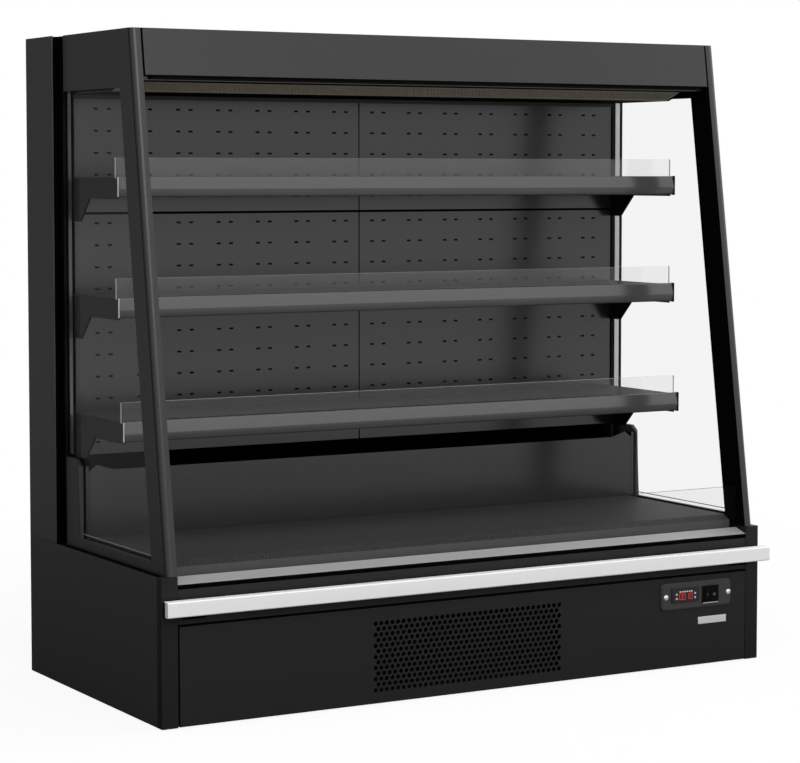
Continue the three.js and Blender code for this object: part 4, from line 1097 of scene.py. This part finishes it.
@dataclass
class Interior(SubAssembly):
    """The back panels with their slots, the duct cover, the deck and its riser."""

    sheet_mm: float = 1.5
    bend_mm: float = 0.8
    slot_mm: Pair = (10.0, 4.0)
    pair_mm: float = 30.5  # between the two slots of a pair
    first_pair_mm: float = 50.0
    pair_pitch_mm: float = 98.2
    pairs: int = 7
    row_pitch_mm: float = 47.9
    levels: tuple[tuple[str, float, int], ...] = (("upper", 1254.7, 5), ("lower", 1005.6, 11))  # top row, rows
    seam_mm: float = 5.0
    strip_low_mm: float = 1275.7
    strip_skin_mm: float = 1.2
    strip_reach_mm: float = 2.0
    flange_gaps_mm: Pair = (0.3, 0.4)  # to the cover and to the pane
    flange_recess_mm: float = 0.2
    flange_lift_mm: float = 1.0
    flange_drop_mm: float = 2.0
    flange_depth_mm: float = 30.0
    deck_sheet_mm: float = 2.0
    grille_run_mm: float = 23.0
    grille_drop_mm: float = 10.5
    hole_mm: float = 3.6
    hole_pitch_mm: float = 7.0
    hole_rows: int = 3

    def build(self) -> None:
        """Builds and dresses the inside."""
        for side in Side:
            for level, top_row_mm, count in self.levels:
                self.back_panel(level, side, top_row_mm, count)
        self.dress("duct_cover", INNER_COAT, 0.5)
        for side in Side:
            self.cover_flange(side)
        self.deck()
        self.top_strip()
        clear_pane(self.dress("deck_riser", RISER_SHEETS["deck_riser"], 0.4), Vector((0, 1, 0)), SHADED_EDGE)

    def back_panel(self, level: str, side: Side, top_row_mm: float, count: int) -> None:
        """Builds one back panel with its pairs of slots.

        Args:
            level: Upper or lower.
            side: The end of the cabinet.
            top_row_mm: Height of its highest row of slots.
            count: How many rows it has.
        """
        node = f"back_panel_{level}_{side.label}"
        low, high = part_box(node)
        half_width, half_height = (size * MM / 2 for size in self.slot_mm)
        columns = []
        for pair in range(self.pairs):
            for offset in (-self.pair_mm / 2, self.pair_mm / 2):
                x = side.value * (self.first_pair_mm + pair * self.pair_pitch_mm + offset) * MM
                columns.append((x - half_width, x + half_width))
        heights = [(top_row_mm - row * self.row_pitch_mm) * MM for row in range(count)]
        rows = [(z - half_height, z + half_height) for z in heights]
        sheet = slotted(f"{node}_finished", (low.x, low.z), (high.x, high.z), columns, rows)
        fold_back(sheet, low, high, self.bend_mm)
        shape(sheet, "SOLIDIFY", thickness=self.sheet_mm * MM, offset=-1)
        self.place(round_edges(sheet, 0), INNER_COAT, node, node)
        seam = self.seam_mm * MM
        # The panels' edges at the middle seam are painted shade black.
        paint(sheet, SHADE_BLACK, lambda centre, normal: side.value * normal.x < -0.4 and abs(centre.x) < seam)

    def cover_flange(self, side: Side) -> None:
        """Builds the flange that closes the gap between the duct cover and a pane.

        Args:
            side: The end of the cabinet.
        """
        low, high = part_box("duct_cover")
        cover_gap, pane_gap = (side.value * gap * MM for gap in self.flange_gaps_mm)
        near = faces_across("duct_cover", side)[1] + cover_gap
        far = faces_across(f"end_glass_{side.label}", side)[0] - pane_gap
        flange = block(
            f"duct_cover_flange_{side.label}",
            (near, low.y + self.flange_recess_mm * MM, low.z + self.flange_lift_mm * MM),
            (far, low.y + self.flange_depth_mm * MM, high.z - self.flange_drop_mm * MM),
            0.3,
        )
        self.place(flange, INNER_COAT, "duct_cover")

    def top_strip(self) -> None:
        """Builds the strip that holds the back panels' upper edges."""
        low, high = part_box("back_panel_upper_right")
        reach = high.x + self.strip_reach_mm * MM
        front = low.y - self.strip_skin_mm * MM
        strip = block("panel_top_strip", (-reach, front, self.strip_low_mm * MM), (reach, low.y, high.z), 0.4)
        self.place(strip, STRIP_COAT, "back_panel_upper_right")

    def deck(self) -> None:
        """Builds the deck: a flat pan, a sloping front with rows of holes, and a front fold."""
        low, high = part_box("deck_pan")
        bend_y = low.y + self.grille_run_mm * MM
        slope_z = high.z - self.grille_drop_mm * MM
        bpy.ops.mesh.primitive_plane_add(size=1, location=(0, (bend_y + high.y) / 2, high.z))
        flat = bpy.context.active_object
        flat.scale = (high.x - low.x, high.y - bend_y, 1)
        settle(flat, "flat")
        with editing(flat):
            pick(flat, Pick.EDGE, lambda e: abs(abs(middle(e).x) - high.x) < NEAR)
            bpy.ops.mesh.extrude_region()
            bpy.ops.transform.translate(value=(0, 0, low.z - high.z))
        pitch = self.hole_pitch_mm * MM
        columns = int((high.x - low.x) / pitch) - 1
        holes = honeycombed(columns, self.hole_rows, pitch, self.hole_mm * MM / 2, Hole.HEXAGONAL)
        length = math.hypot(bend_y - low.y, high.z - slope_z)
        slope = perforated("slope", holes, pitch / math.sqrt(3), (low.x, -length / 2), (high.x, length / 2))
        slope.rotation_euler = (-math.asin((bend_y - low.y) / length), 0, 0)
        slope.location = (0, (bend_y + low.y) / 2, (high.z + slope_z) / 2)
        settle(slope, "slope")
        pan = joined("deck_pan_finished", [flat, slope])
        with editing(pan):
            pick(
                pan,
                Pick.EDGE,
                lambda e: abs(middle(e).y - low.y) < NEAR and abs(middle(e).z - slope_z) < NEAR,
            )
            bpy.ops.mesh.extrude_region()
            bpy.ops.transform.translate(value=(0, 0, low.z - slope_z))
            bpy.ops.mesh.select_all(action="SELECT")
            bpy.ops.mesh.remove_doubles(threshold=MERGE)
            bpy.ops.mesh.normals_make_consistent(inside=False)
            flip_towards(pan, Vector((0, -0.2, 1)))
        shape(pan, "SOLIDIFY", thickness=self.deck_sheet_mm * MM, offset=-1)
        self.place(round_edges(pan, 0), DECK_COAT, "deck_pan", "deck_pan")
        # The deck's front fold is painted lighter: painted light.
        paint(pan, FOLD_LIGHT_COAT, lambda centre, normal: normal.y < -SQUARE)


@dataclass
class Canopy(SubAssembly):
    """The underside of the canopy, its honeycomb and its lamp."""

    cell_mm: float = 9.0
    web_mm: float = 0.9
    margin_mm: float = 3.0
    depth_mm: float = 10.0
    drop_mm: float = 19.0  # how much lower the honeycomb's front edge is than its rear one

    def build(self) -> None:
        """Builds and dresses the canopy."""
        liner = self.dress("canopy_liner", INNER_COAT, 0.5)
        # The liner's underside is painted shade black.
        paint(liner, SHADE_BLACK, lambda centre, normal: normal.z < -LEANING)
        self.dress("canopy_lamp", LAMP_PLASTIC, 0.8)
        self.honeycomb()

    def honeycomb(self) -> None:
        """Builds the tilted honeycomb that straightens the air curtain."""
        low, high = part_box("air_honeycomb")
        drop, run = self.drop_mm * MM, high.y - low.y
        width, depth = high.x - low.x, math.hypot(run, drop)
        pitch, margins = self.cell_mm * MM, 2 * self.margin_mm * MM
        columns = int((width - margins) / pitch)
        rows = int((depth - margins) / (pitch * math.sqrt(3) / 2))
        rows -= 1 - rows % 2
        radius = pitch / math.sqrt(3) - self.web_mm * MM / 2 / math.cos(math.pi / 6)
        cells = honeycombed(columns, rows, pitch, radius, Hole.HEXAGONAL)
        corner = (width / 2, depth / 2)
        sheet = perforated("air_honeycomb_finished", cells, pitch / math.sqrt(3), (-corner[0], -corner[1]), corner)
        shape(sheet, "SOLIDIFY", thickness=self.depth_mm * MM, offset=-1)
        sheet.rotation_euler = (math.pi / 2 - math.atan2(drop, run), 0, 0)
        sheet.location = (0, (low.y + high.y) / 2, low.z + drop / 2)
        settle(sheet, sheet.name)
        self.place(sheet, CELL_PLASTIC, "air_honeycomb", "air_honeycomb")


@dataclass
class Shelving(SubAssembly):
    """The shelves: trays, price rails with their end caps, clear risers and brackets."""

    count: int = 3
    arm_rear_mm: float = 165.0
    crease_mm: float = 17.0
    rail_lip_mm: float = 2.6
    rail_backs_mm: tuple[float, ...] = (5.0, 4.0, 3.2, 5.5)  # face's set-back at top, upper and lower lip, foot
    cap_mm: float = 2.2
    cap_lips_mm: Pair = (1.4, 0.7)  # how far the cap stands out round the rail, and over it
    pin_mm: float = 2.4
    pin_shares: Triple = (0.22, 0.5, 0.78)
    strip_mm: float = 1.4
    strip_depths_mm: Pair = (2.0, 5.0)  # its front and rear behind the rail's front
    strip_inset_mm: float = 1.0

    def build(self) -> None:
        """Builds and dresses each shelf."""
        for number in range(1, self.count + 1):
            self.dress(f"shelf_tray_{number}", DECK_COAT)
            self.price_rail(number)
            riser = f"shelf_riser_{number}"
            clear_pane(self.dress(riser, RISER_SHEETS[riser], 0.4), Vector((0, 1, 0)))
            self.bracket(number, Side.LEFT)
            self.end_strip(number)
            self.bracket(number, Side.RIGHT)
            self.end_cap(number)

    def bracket(self, number: int, side: Side) -> None:
        """Dresses a bracket, whose arm is painted lighter on its outer side than its root: a painted reflection.

        Args:
            number: The shelf.
            side: The end of the cabinet.
        """
        root = self.arm_rear_mm * MM
        node = f"shelf_bracket_{number}_{side.label}"
        bracket = self.dress(node, BRACKET_COAT, 0.8, work=lambda piece: split((0, root, 0, "Y")))
        paint(bracket, ARM_REFLECTION_COAT, lambda centre, normal: side.value * normal.x > SQUARE and centre.y < root)

    def price_rail(self, number: int) -> None:
        """Builds a price rail: two flats that meet at a crease, between a narrow lip above and below.

        Args:
            number: The shelf.
        """
        node = f"price_rail_{number}"
        low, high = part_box(node)
        crease = low.z + self.crease_mm * MM
        top, foot = high.z - self.rail_lip_mm * MM, low.z + self.rail_lip_mm * MM
        bpy.ops.mesh.primitive_cube_add(size=1, location=(low + high) / 2)
        rail = bpy.context.active_object
        rail.scale = high - low
        settle(rail, f"{node}_finished")
        with editing(rail):
            split((0, 0, crease, "Z"), (0, 0, top, "Z"), (0, 0, foot, "Z"))
            for level, back_mm in zip((high.z, top, foot, low.z), self.rail_backs_mm):
                pick(rail, Pick.VERT, lambda v: abs(v.co.y - low.y) < NEAR and abs(v.co.z - level) < NEAR)
                bpy.ops.transform.translate(value=(0, back_mm * MM, 0))
        self.place(round_edges(rail, 0.5), RAIL_PLASTIC, node, node)
        # The lower flat gets a copy that mirrors less: painted shade.
        paint(rail, LOWER_FLAT_SHADE, lambda centre, normal: normal.y < -LEANING and centre.z < crease)

    def end_strip(self, number: int) -> None:
        """Builds the thin white strip on the left end of a price rail: a painted highlight.

        Args:
            number: The shelf.
        """
        low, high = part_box(f"price_rail_{number}")
        front, rear = (low.y + depth * MM for depth in self.strip_depths_mm)
        inset = self.strip_inset_mm * MM
        strip = block(
            f"rail_cap_{number}_left",
            (low.x - self.strip_mm * MM, front, low.z + inset),
            (low.x, rear, high.z - inset),
            0.3,
        )
        self.place(strip, RAIL_END_HIGHLIGHT, f"price_rail_{number}")

    def end_cap(self, number: int) -> None:
        """Builds the moulded cap on the right end of a price rail, with its three pins.

        Args:
            number: The shelf.
        """
        node = f"price_rail_{number}"
        low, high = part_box(node)
        outer = high.x + self.cap_mm * MM
        around, over = (lip * MM for lip in self.cap_lips_mm)
        cap = block(
            f"rail_cap_{number}_right",
            (high.x, low.y - around, low.z - around),
            (outer, high.y + around, high.z + over),
            1.0,
        )
        self.place(cap, CAP_PLASTIC, node)
        pins = []
        for share in self.pin_shares:
            spot = (outer, (low.y + high.y) / 2, low.z + share * (high.z - low.z))
            radius = self.pin_mm * MM / 2
            bpy.ops.mesh.primitive_uv_sphere_add(segments=12, ring_count=8, radius=radius, location=spot)
            pins.append(settle(bpy.context.active_object, "pin"))
        self.place(joined(f"rail_cap_pins_{number}_right", pins), MARK_PAINT, node)


# The bars of a digit, from and to, as shares of its width and height.
BARS = {
    "top": ((0.0, 1.0), (1.0, 1.0)),
    "right_upper": ((1.0, 0.5), (1.0, 1.0)),
    "right_lower": ((1.0, 0.0), (1.0, 0.5)),
    "bottom": ((0.0, 0.0), (1.0, 0.0)),
    "left_lower": ((0.0, 0.0), (0.0, 0.5)),
    "left_upper": ((0.0, 0.5), (0.0, 1.0)),
}
DIGITS = {"0": tuple(BARS), "1": ("right_upper", "right_lower")}


@dataclass
class Controls(SubAssembly):
    """The control plate with its controller, keys, display, switch and screws, and the bare badge plate."""

    pivot_mm: Triple = (609.2, -334.0, 163.0)
    rocker_deg: float = 20.0
    crest_mm: float = 6.0
    mark_mm: float = 8.5  # from the pivot to the middle of a mark
    bar_mm: Triple = (0.9, 0.3, 5.2)
    bar_depth_mm: float = 0.2  # part of the bar that is under the rocker's face
    ring_mm: Pair = (2.6, 0.4)  # radii of the ring and of its stroke
    ring_flatness: float = 0.3
    lip_low_mm: Triple = (1.0, -0.2, -0.2)  # from the bezel's lower left front corner
    lip_high_mm: Triple = (-1.0, 0.8, 1.3)  # from its lower right front corner
    screw_mm: float = 12.5
    screw_height: float = 0.42  # this and the two below are shares of its radius
    recess_rim: float = 0.08
    recess_depth: float = 0.12
    crown: float = 0.97  # faces of the dome that look forward by more than this are sunk
    screws_mm: tuple[Pair, ...] = ((487.0, 163.9), (661.0, 163.5))
    display_mm: Pair = (539.0, 163.4)
    digit_mm: Pair = (6.6, 12.6)
    digit_pitch_mm: float = 9.6
    stroke_mm: float = 1.0
    level_share: float = 0.4  # part of half a stroke by which a level bar passes its upright ones
    digit_lift_mm: float = 0.12
    symbol_lift_mm: float = 0.1
    lit_depth_mm: float = 0.3
    number: str = "0010"
    symbols: int = 6
    symbol_mm: Pair = (4.0, 3.0)
    symbol_gap_mm: float = 3.4
    badge_low_mm: Pair = (578.5, 95.4)
    badge_high_mm: Pair = (657.2, 111.8)
    badge_mm: float = 2.2
    seat_mm: float = 0.2  # how far the badge sits in the panel

    def build(self) -> None:
        """Builds and dresses the controls."""
        self.dress("control_plate", PLATE_COAT, 0.7, 3)
        self.dress("temperature_controller", FACIA_PLASTIC)
        self.dress("switch_bezel", SWITCH_PLASTIC, 0.8, 3)
        self.dress("switch_rocker", SWITCH_PLASTIC, 0.5, 3)
        self.rocker_marks()
        self.bezel_lip()
        for place in ("upper_left", "lower_left", "upper_right", "lower_right"):
            self.dress(f"controller_key_{place}", KEY_RUBBER, 0.5, 3)
        self.screws()
        self.display()
        self.badge()

    def screws(self) -> None:
        """Builds the two domed screws, each with a shallow recess."""
        plate_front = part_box("control_plate")[0].y
        radius = self.screw_mm * MM / 2
        for number, (x, z) in enumerate(self.screws_mm, 1):
            bpy.ops.mesh.primitive_uv_sphere_add(segments=32, ring_count=16, radius=radius)
            dome = bpy.context.active_object
            with editing(dome):
                bpy.ops.mesh.bisect(plane_co=(0, 0, 0), plane_no=(0, 0, 1), use_fill=True, clear_inner=True)
                pick(dome, Pick.FACE, lambda f: f.normal.z > self.crown)
                bpy.ops.mesh.inset(thickness=radius * self.recess_rim, depth=-radius * self.recess_depth)
            dome.scale = (1, 1, self.screw_height)
            dome.rotation_euler = (math.pi / 2, 0, 0)
            dome.location = (x * MM, plate_front, z * MM)
            settle(dome, f"plate_screw_{number}")
            round_edges(dome, 0)
            self.place(dome, SCREW_AND_HIGHLIGHT_METAL, "control_plate")

    def rocker_marks(self) -> None:
        """Builds the bar and the ring on the two halves of the rocker."""
        half = math.radians(self.rocker_deg / 2)
        width, depth, height = (size * MM for size in self.bar_mm)
        inside = self.bar_depth_mm * MM
        bar = block("bar", (-width / 2, inside - depth, -height / 2), (width / 2, inside, height / 2), 0.1)
        radius, stroke = (size * MM for size in self.ring_mm)
        bpy.ops.mesh.primitive_torus_add(
            major_radius=radius, minor_radius=stroke, major_segments=24, minor_segments=6
        )
        ring = bpy.context.active_object
        ring.rotation_euler = (math.pi / 2, 0, 0)
        ring.scale = (1, 1, self.ring_flatness)
        settle(ring, "ring")
        across = self.mark_mm * MM
        for mark, side in ((bar, Side.LEFT), (ring, Side.RIGHT)):
            mark.rotation_euler = (0, 0, -side.value * half)
            mark.location = (side.value * across, -self.crest_mm * MM - across * math.tan(half), 0)
            settle(mark, mark.name)
        marks = joined("rocker_marks", [bar, ring])
        marks.rotation_euler = (0, 0, -half)
        marks.location = Vector(self.pivot_mm) * MM
        settle(marks, marks.name)
        self.place(marks, MARK_PAINT, "switch_rocker")

    def bezel_lip(self) -> None:
        """Builds the bright strip along the lower edge of the switch bezel: a painted highlight of the edge."""
        low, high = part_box("switch_bezel")
        start = low + Vector(self.lip_low_mm) * MM
        end = Vector((high.x, low.y, low.z)) + Vector(self.lip_high_mm) * MM
        self.place(block("switch_bezel_lip", start, end, 0.3), SCREW_AND_HIGHLIGHT_METAL, "switch_bezel")

    def display(self) -> None:
        """Builds the lit segments of the display and the row of symbols over them."""
        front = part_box("temperature_controller")[0].y
        width, height = (size * MM for size in self.digit_mm)
        pitch = self.digit_pitch_mm * MM
        left = self.display_mm[0] * MM - (len(self.number) - 1) * pitch / 2 - width / 2
        base = self.display_mm[1] * MM - height / 2
        pieces = [
            self.segment(bar, left + index * pitch, front, base)
            for index, digit in enumerate(self.number)
            for bar in DIGITS[digit]
        ]
        self.place(joined("display_digits", pieces), DISPLAY_RED, "temperature_controller")
        marks = []
        across, up = (size * MM for size in self.symbol_mm)
        z = base + height + self.symbol_gap_mm * MM
        face, back = front - self.symbol_lift_mm * MM, front + self.lit_depth_mm * MM
        for index in range(self.symbols):
            x = left + index * pitch * len(self.number) / self.symbols
            marks.append(block("symbol", (x, face, z), (x + across, back, z + up), 0.1))
        self.place(joined("display_symbols", marks), DISPLAY_WHITE, "temperature_controller")

    def segment(self, bar: str, left: float, front: float, base: float) -> bpy.types.Object:
        """Builds one lit bar of a digit, where a level one is a little shorter than its place.

        Args:
            bar: Its place in the digit.
            left: X of the digit's left bars.
            front: Y of the facia.
            base: Z of the digit's bottom bar.

        Returns:
            The bar.
        """
        (from_x, from_z), (to_x, to_z) = BARS[bar]
        width, height = (size * MM for size in self.digit_mm)
        half = self.stroke_mm * MM / 2
        ends = half * self.level_share if from_z == to_z else half
        face, back = front - self.digit_lift_mm * MM, front + self.lit_depth_mm * MM
        low = (left + from_x * width - ends, face, base + from_z * height - half)
        high = (left + to_x * width + ends, back, base + to_z * height + half)
        return block("segment", low, high, 0.1)

    def badge(self) -> None:
        """Builds the badge plate, which is bare."""
        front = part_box("front_panel")[0].y
        (x0, z0), (x1, z1) = self.badge_low_mm, self.badge_high_mm
        low = (x0 * MM, front - self.badge_mm * MM, z0 * MM)
        high = (x1 * MM, front + self.seat_mm * MM, z1 * MM)
        self.place(block("badge_plate", low, high, 0.8), BADGE_METAL, "bumper_rail")


MACHINE_FINISHES = {
    "base_chassis": BRACKET_COAT,
    "insulated_tub": BRACKET_COAT,
    "compressor": MACHINE_ENAMEL,
    "condenser_coil": FINS_IN_SHADE,
    "fan_shroud": FINS_IN_SHADE,
    "condenser_fan": FAN_PLASTIC,
    "control_box": ZINC_STEEL,
    "evaporator_coil": FIN_METAL,
    "evaporator_fan_plate": FIN_METAL,
    "evaporator_fan_left": FAN_PLASTIC,
    "evaporator_fan_right": FAN_PLASTIC,
}


@dataclass
class Machinery(SubAssembly):
    """The parts inside the base and the tub, which keep their solids."""

    def build(self) -> None:
        """Dresses the machinery."""
        for node, finish in MACHINE_FINISHES.items():
            self.coat(node, finish)


# ---------------------------------------------------------------- studio


@dataclass(frozen=True)
class Lamp:
    """A soft square lamp.

    Attributes:
        name: Its name.
        place: Where it hangs.
        target: What it points at.
        size: Length of its side.
        watts: Its power.
    """

    name: str
    place: Triple
    target: Triple
    size: float
    watts: float

    def build(self) -> None:
        """Hangs the lamp."""
        data = bpy.data.lights.new(self.name, "AREA")
        data.size = self.size
        data.energy = self.watts
        lamp = bpy.data.objects.new(self.name, data)
        bpy.context.scene.collection.objects.link(lamp)
        lamp.location = self.place
        lamp.rotation_mode = "QUATERNION"
        lamp.rotation_quaternion = (Vector(self.target) - Vector(self.place)).to_track_quat("-Z", "Y")


@dataclass
class Studio:
    """The floor, the world, the lamps and the camera."""

    lens: float = 112.155
    sensor: float = 36.0
    azimuth: float = -30.0427  # degrees from straight in front, towards the left
    pitch: float = 3.6841  # degrees that the camera looks down
    place: Triple = (-2.8041, -4.8336, 1.1150)
    shift: float = -0.06
    floor_size: float = 90.0
    white_range: Pair = (1.0, 3.0)  # distances between which the floor turns wholly white to the camera
    haze_range: Pair = (0.6, 5.5)  # distances between which it turns bright to the object
    shadow_white: float = 0.9
    bounce: float = 0.06  # the floor's reflectance to the object, so it casts no light up on it
    diffuse_light: float = 0.75
    dim_side: Triple = (-0.5, 0.866, 0.0)  # where the studio is dim, behind the cabinet's left
    dim_from: float = 0.85  # cosine to that side from which it is dimmest
    dim_light: float = 0.15
    lamps: tuple[Lamp, ...] = (
        Lamp("key", (-1.0, -6.2, 4.0), (0.0, 0.0, 0.8), 3.5, 190.0),
        Lamp("fill", (5.0, -2.0, 3.0), (0.0, 0.0, 0.7), 3.0, 60.0),
        Lamp("top", (0.0, -0.6, 4.5), (0.0, 0.0, 0.7), 3.5, 60.0),
    )

    def build(self) -> None:
        """Builds the studio."""
        self.camera()
        self.floor()
        self.world()
        for lamp in self.lamps:
            lamp.build()
        bpy.context.scene.view_settings.view_transform = "Standard"

    def camera(self) -> None:
        """Places the camera at the photograph's viewing angle."""
        data = bpy.data.cameras.new("camera")
        data.lens = self.lens
        data.sensor_width = self.sensor
        data.shift_y = self.shift
        camera = bpy.data.objects.new("camera", data)
        bpy.context.scene.collection.objects.link(camera)
        turn, tip = math.radians(self.azimuth), math.radians(self.pitch)
        back = Vector((math.sin(turn) * math.cos(tip), -math.cos(turn) * math.cos(tip), math.sin(tip)))
        camera.location = self.place
        camera.rotation_mode = "QUATERNION"
        camera.rotation_quaternion = (-back).to_track_quat("-Z", "Y")
        bpy.context.scene.camera = camera

    def seen_directly(self, tree: bpy.types.NodeTree) -> bpy.types.NodeSocket:
        """Builds a switch that is 1 for camera and transmission rays.

        Args:
            tree: The node tree.

        Returns:
            The switch's output.
        """
        path = add_node(tree, "ShaderNodeLightPath", {})
        rays = {0: path.outputs["Is Camera Ray"], 1: path.outputs["Is Transmission Ray"]}
        return add_node(tree, "ShaderNodeMath", rays, operation="MAXIMUM").outputs[0]

    def brightness(self, tree: bpy.types.NodeTree, bearing: bpy.types.NodeSocket) -> bpy.types.NodeSocket:
        """Builds how bright the studio is in a direction, which falls off towards its dim side.

        Args:
            tree: The node tree.
            bearing: The direction, of length 1.

        Returns:
            The brightness, from the dim side's to 1.
        """
        turned = add_node(tree, "ShaderNodeVectorMath", {0: bearing, 1: self.dim_side}, operation="DOT_PRODUCT")
        falling = {"Value": turned.outputs["Value"], "From Min": 0.0, "From Max": self.dim_from}
        levels = {"To Min": 1.0, "To Max": self.dim_light}
        studio = add_node(tree, "ShaderNodeMapRange", {**falling, **levels}, interpolation_type="SMOOTHSTEP")
        return studio.outputs[0]

    def floor(self) -> None:
        """Builds the plain floor."""
        bpy.ops.mesh.primitive_plane_add(size=self.floor_size, location=(0, 0, 0))
        floor = bpy.context.active_object
        floor.name = "floor"
        floor.data.materials.append(node_material("plain_white_floor", self.floor_shader))

    def floor_shader(self, tree: bpy.types.NodeTree) -> bpy.types.NodeSocket:
        """Builds the floor's surface.

        To the camera it is white with the object's shadow. In the object's reflections it is dark close by and
        as bright as the studio far off, like the photograph's.

        Args:
            tree: The floor's node tree.

        Returns:
            The surface's output.
        """
        place = add_node(tree, "ShaderNodeTexCoord", {})
        point = {0: place.outputs["Object"]}
        away = add_node(tree, "ShaderNodeVectorMath", point, operation="LENGTH").outputs["Value"]
        bearing = add_node(tree, "ShaderNodeVectorMath", point, operation="NORMALIZE").outputs[0]
        rises = []
        for (near, far), least in ((self.white_range, self.shadow_white), (self.haze_range, 0.0)):
            limits = {"From Min": near, "From Max": far, "To Min": least, "To Max": 1.0}
            rise = add_node(
                tree, "ShaderNodeMapRange", {"Value": away, **limits}, interpolation_type="SMOOTHSTEP"
            )
            rises.append(rise.outputs[0])
        white, haze = rises
        studio = self.brightness(tree, bearing)
        mirrored = add_node(tree, "ShaderNodeMath", {0: haze, 1: studio}, operation="MULTIPLY")
        direct = self.seen_directly(tree)
        shares = {"Value": direct, "To Min": mirrored.outputs[0], "To Max": white}
        tones = {"Value": direct, "To Min": self.bounce, "To Max": self.shadow_white}
        share = add_node(tree, "ShaderNodeMapRange", shares)
        tone = add_node(tree, "ShaderNodeMapRange", tones)
        diffuse = add_node(tree, "ShaderNodeBsdfDiffuse", {"Color": tone.outputs[0]})
        glow = add_node(tree, "ShaderNodeEmission", {"Color": linear("#ffffff"), "Strength": 1.0})
        layers = {0: share.outputs[0], 1: diffuse.outputs[0], 2: glow.outputs[0]}
        return add_node(tree, "ShaderNodeMixShader", layers).outputs[0]

    def world(self) -> None:
        """Builds the surroundings: white behind the object, and a bright studio in front with a dim side."""
        world = bpy.data.worlds.new("white_studio")
        bpy.context.scene.world = world
        world.use_nodes = True
        tree = world.node_tree
        tree.nodes.clear()
        place = add_node(tree, "ShaderNodeTexCoord", {})
        studio = self.brightness(tree, place.outputs["Generated"])
        path = add_node(tree, "ShaderNodeLightPath", {})
        levels = {"Value": path.outputs["Is Glossy Ray"], "To Min": self.diffuse_light, "To Max": 1.0}
        level = add_node(tree, "ShaderNodeMapRange", levels)
        light = add_node(tree, "ShaderNodeMath", {0: studio, 1: level.outputs[0]}, operation="MULTIPLY")
        shares = {"Value": self.seen_directly(tree), "To Min": light.outputs[0], "To Max": 1.0}
        strength = add_node(tree, "ShaderNodeMapRange", shares)
        white = {"Color": linear("#ffffff"), "Strength": strength.outputs[0]}
        background = add_node(tree, "ShaderNodeBackground", white)
        add_node(tree, "ShaderNodeOutputWorld", {"Surface": background.outputs[0]})


def main() -> None:
    """Builds the studio and each sub-assembly in order."""
    logging.basicConfig(level=logging.INFO, format="%(name)s: %(message)s")
    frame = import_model()
    bpy.ops.object.select_all(action="DESELECT")
    Studio().build()
    for kind in (Base, Carcass, Interior, Canopy, Shelving, Controls, Machinery):
        LOG.info("building %s", kind.__name__)
        kind(frame).build()


if __name__ == "__main__":
    main()
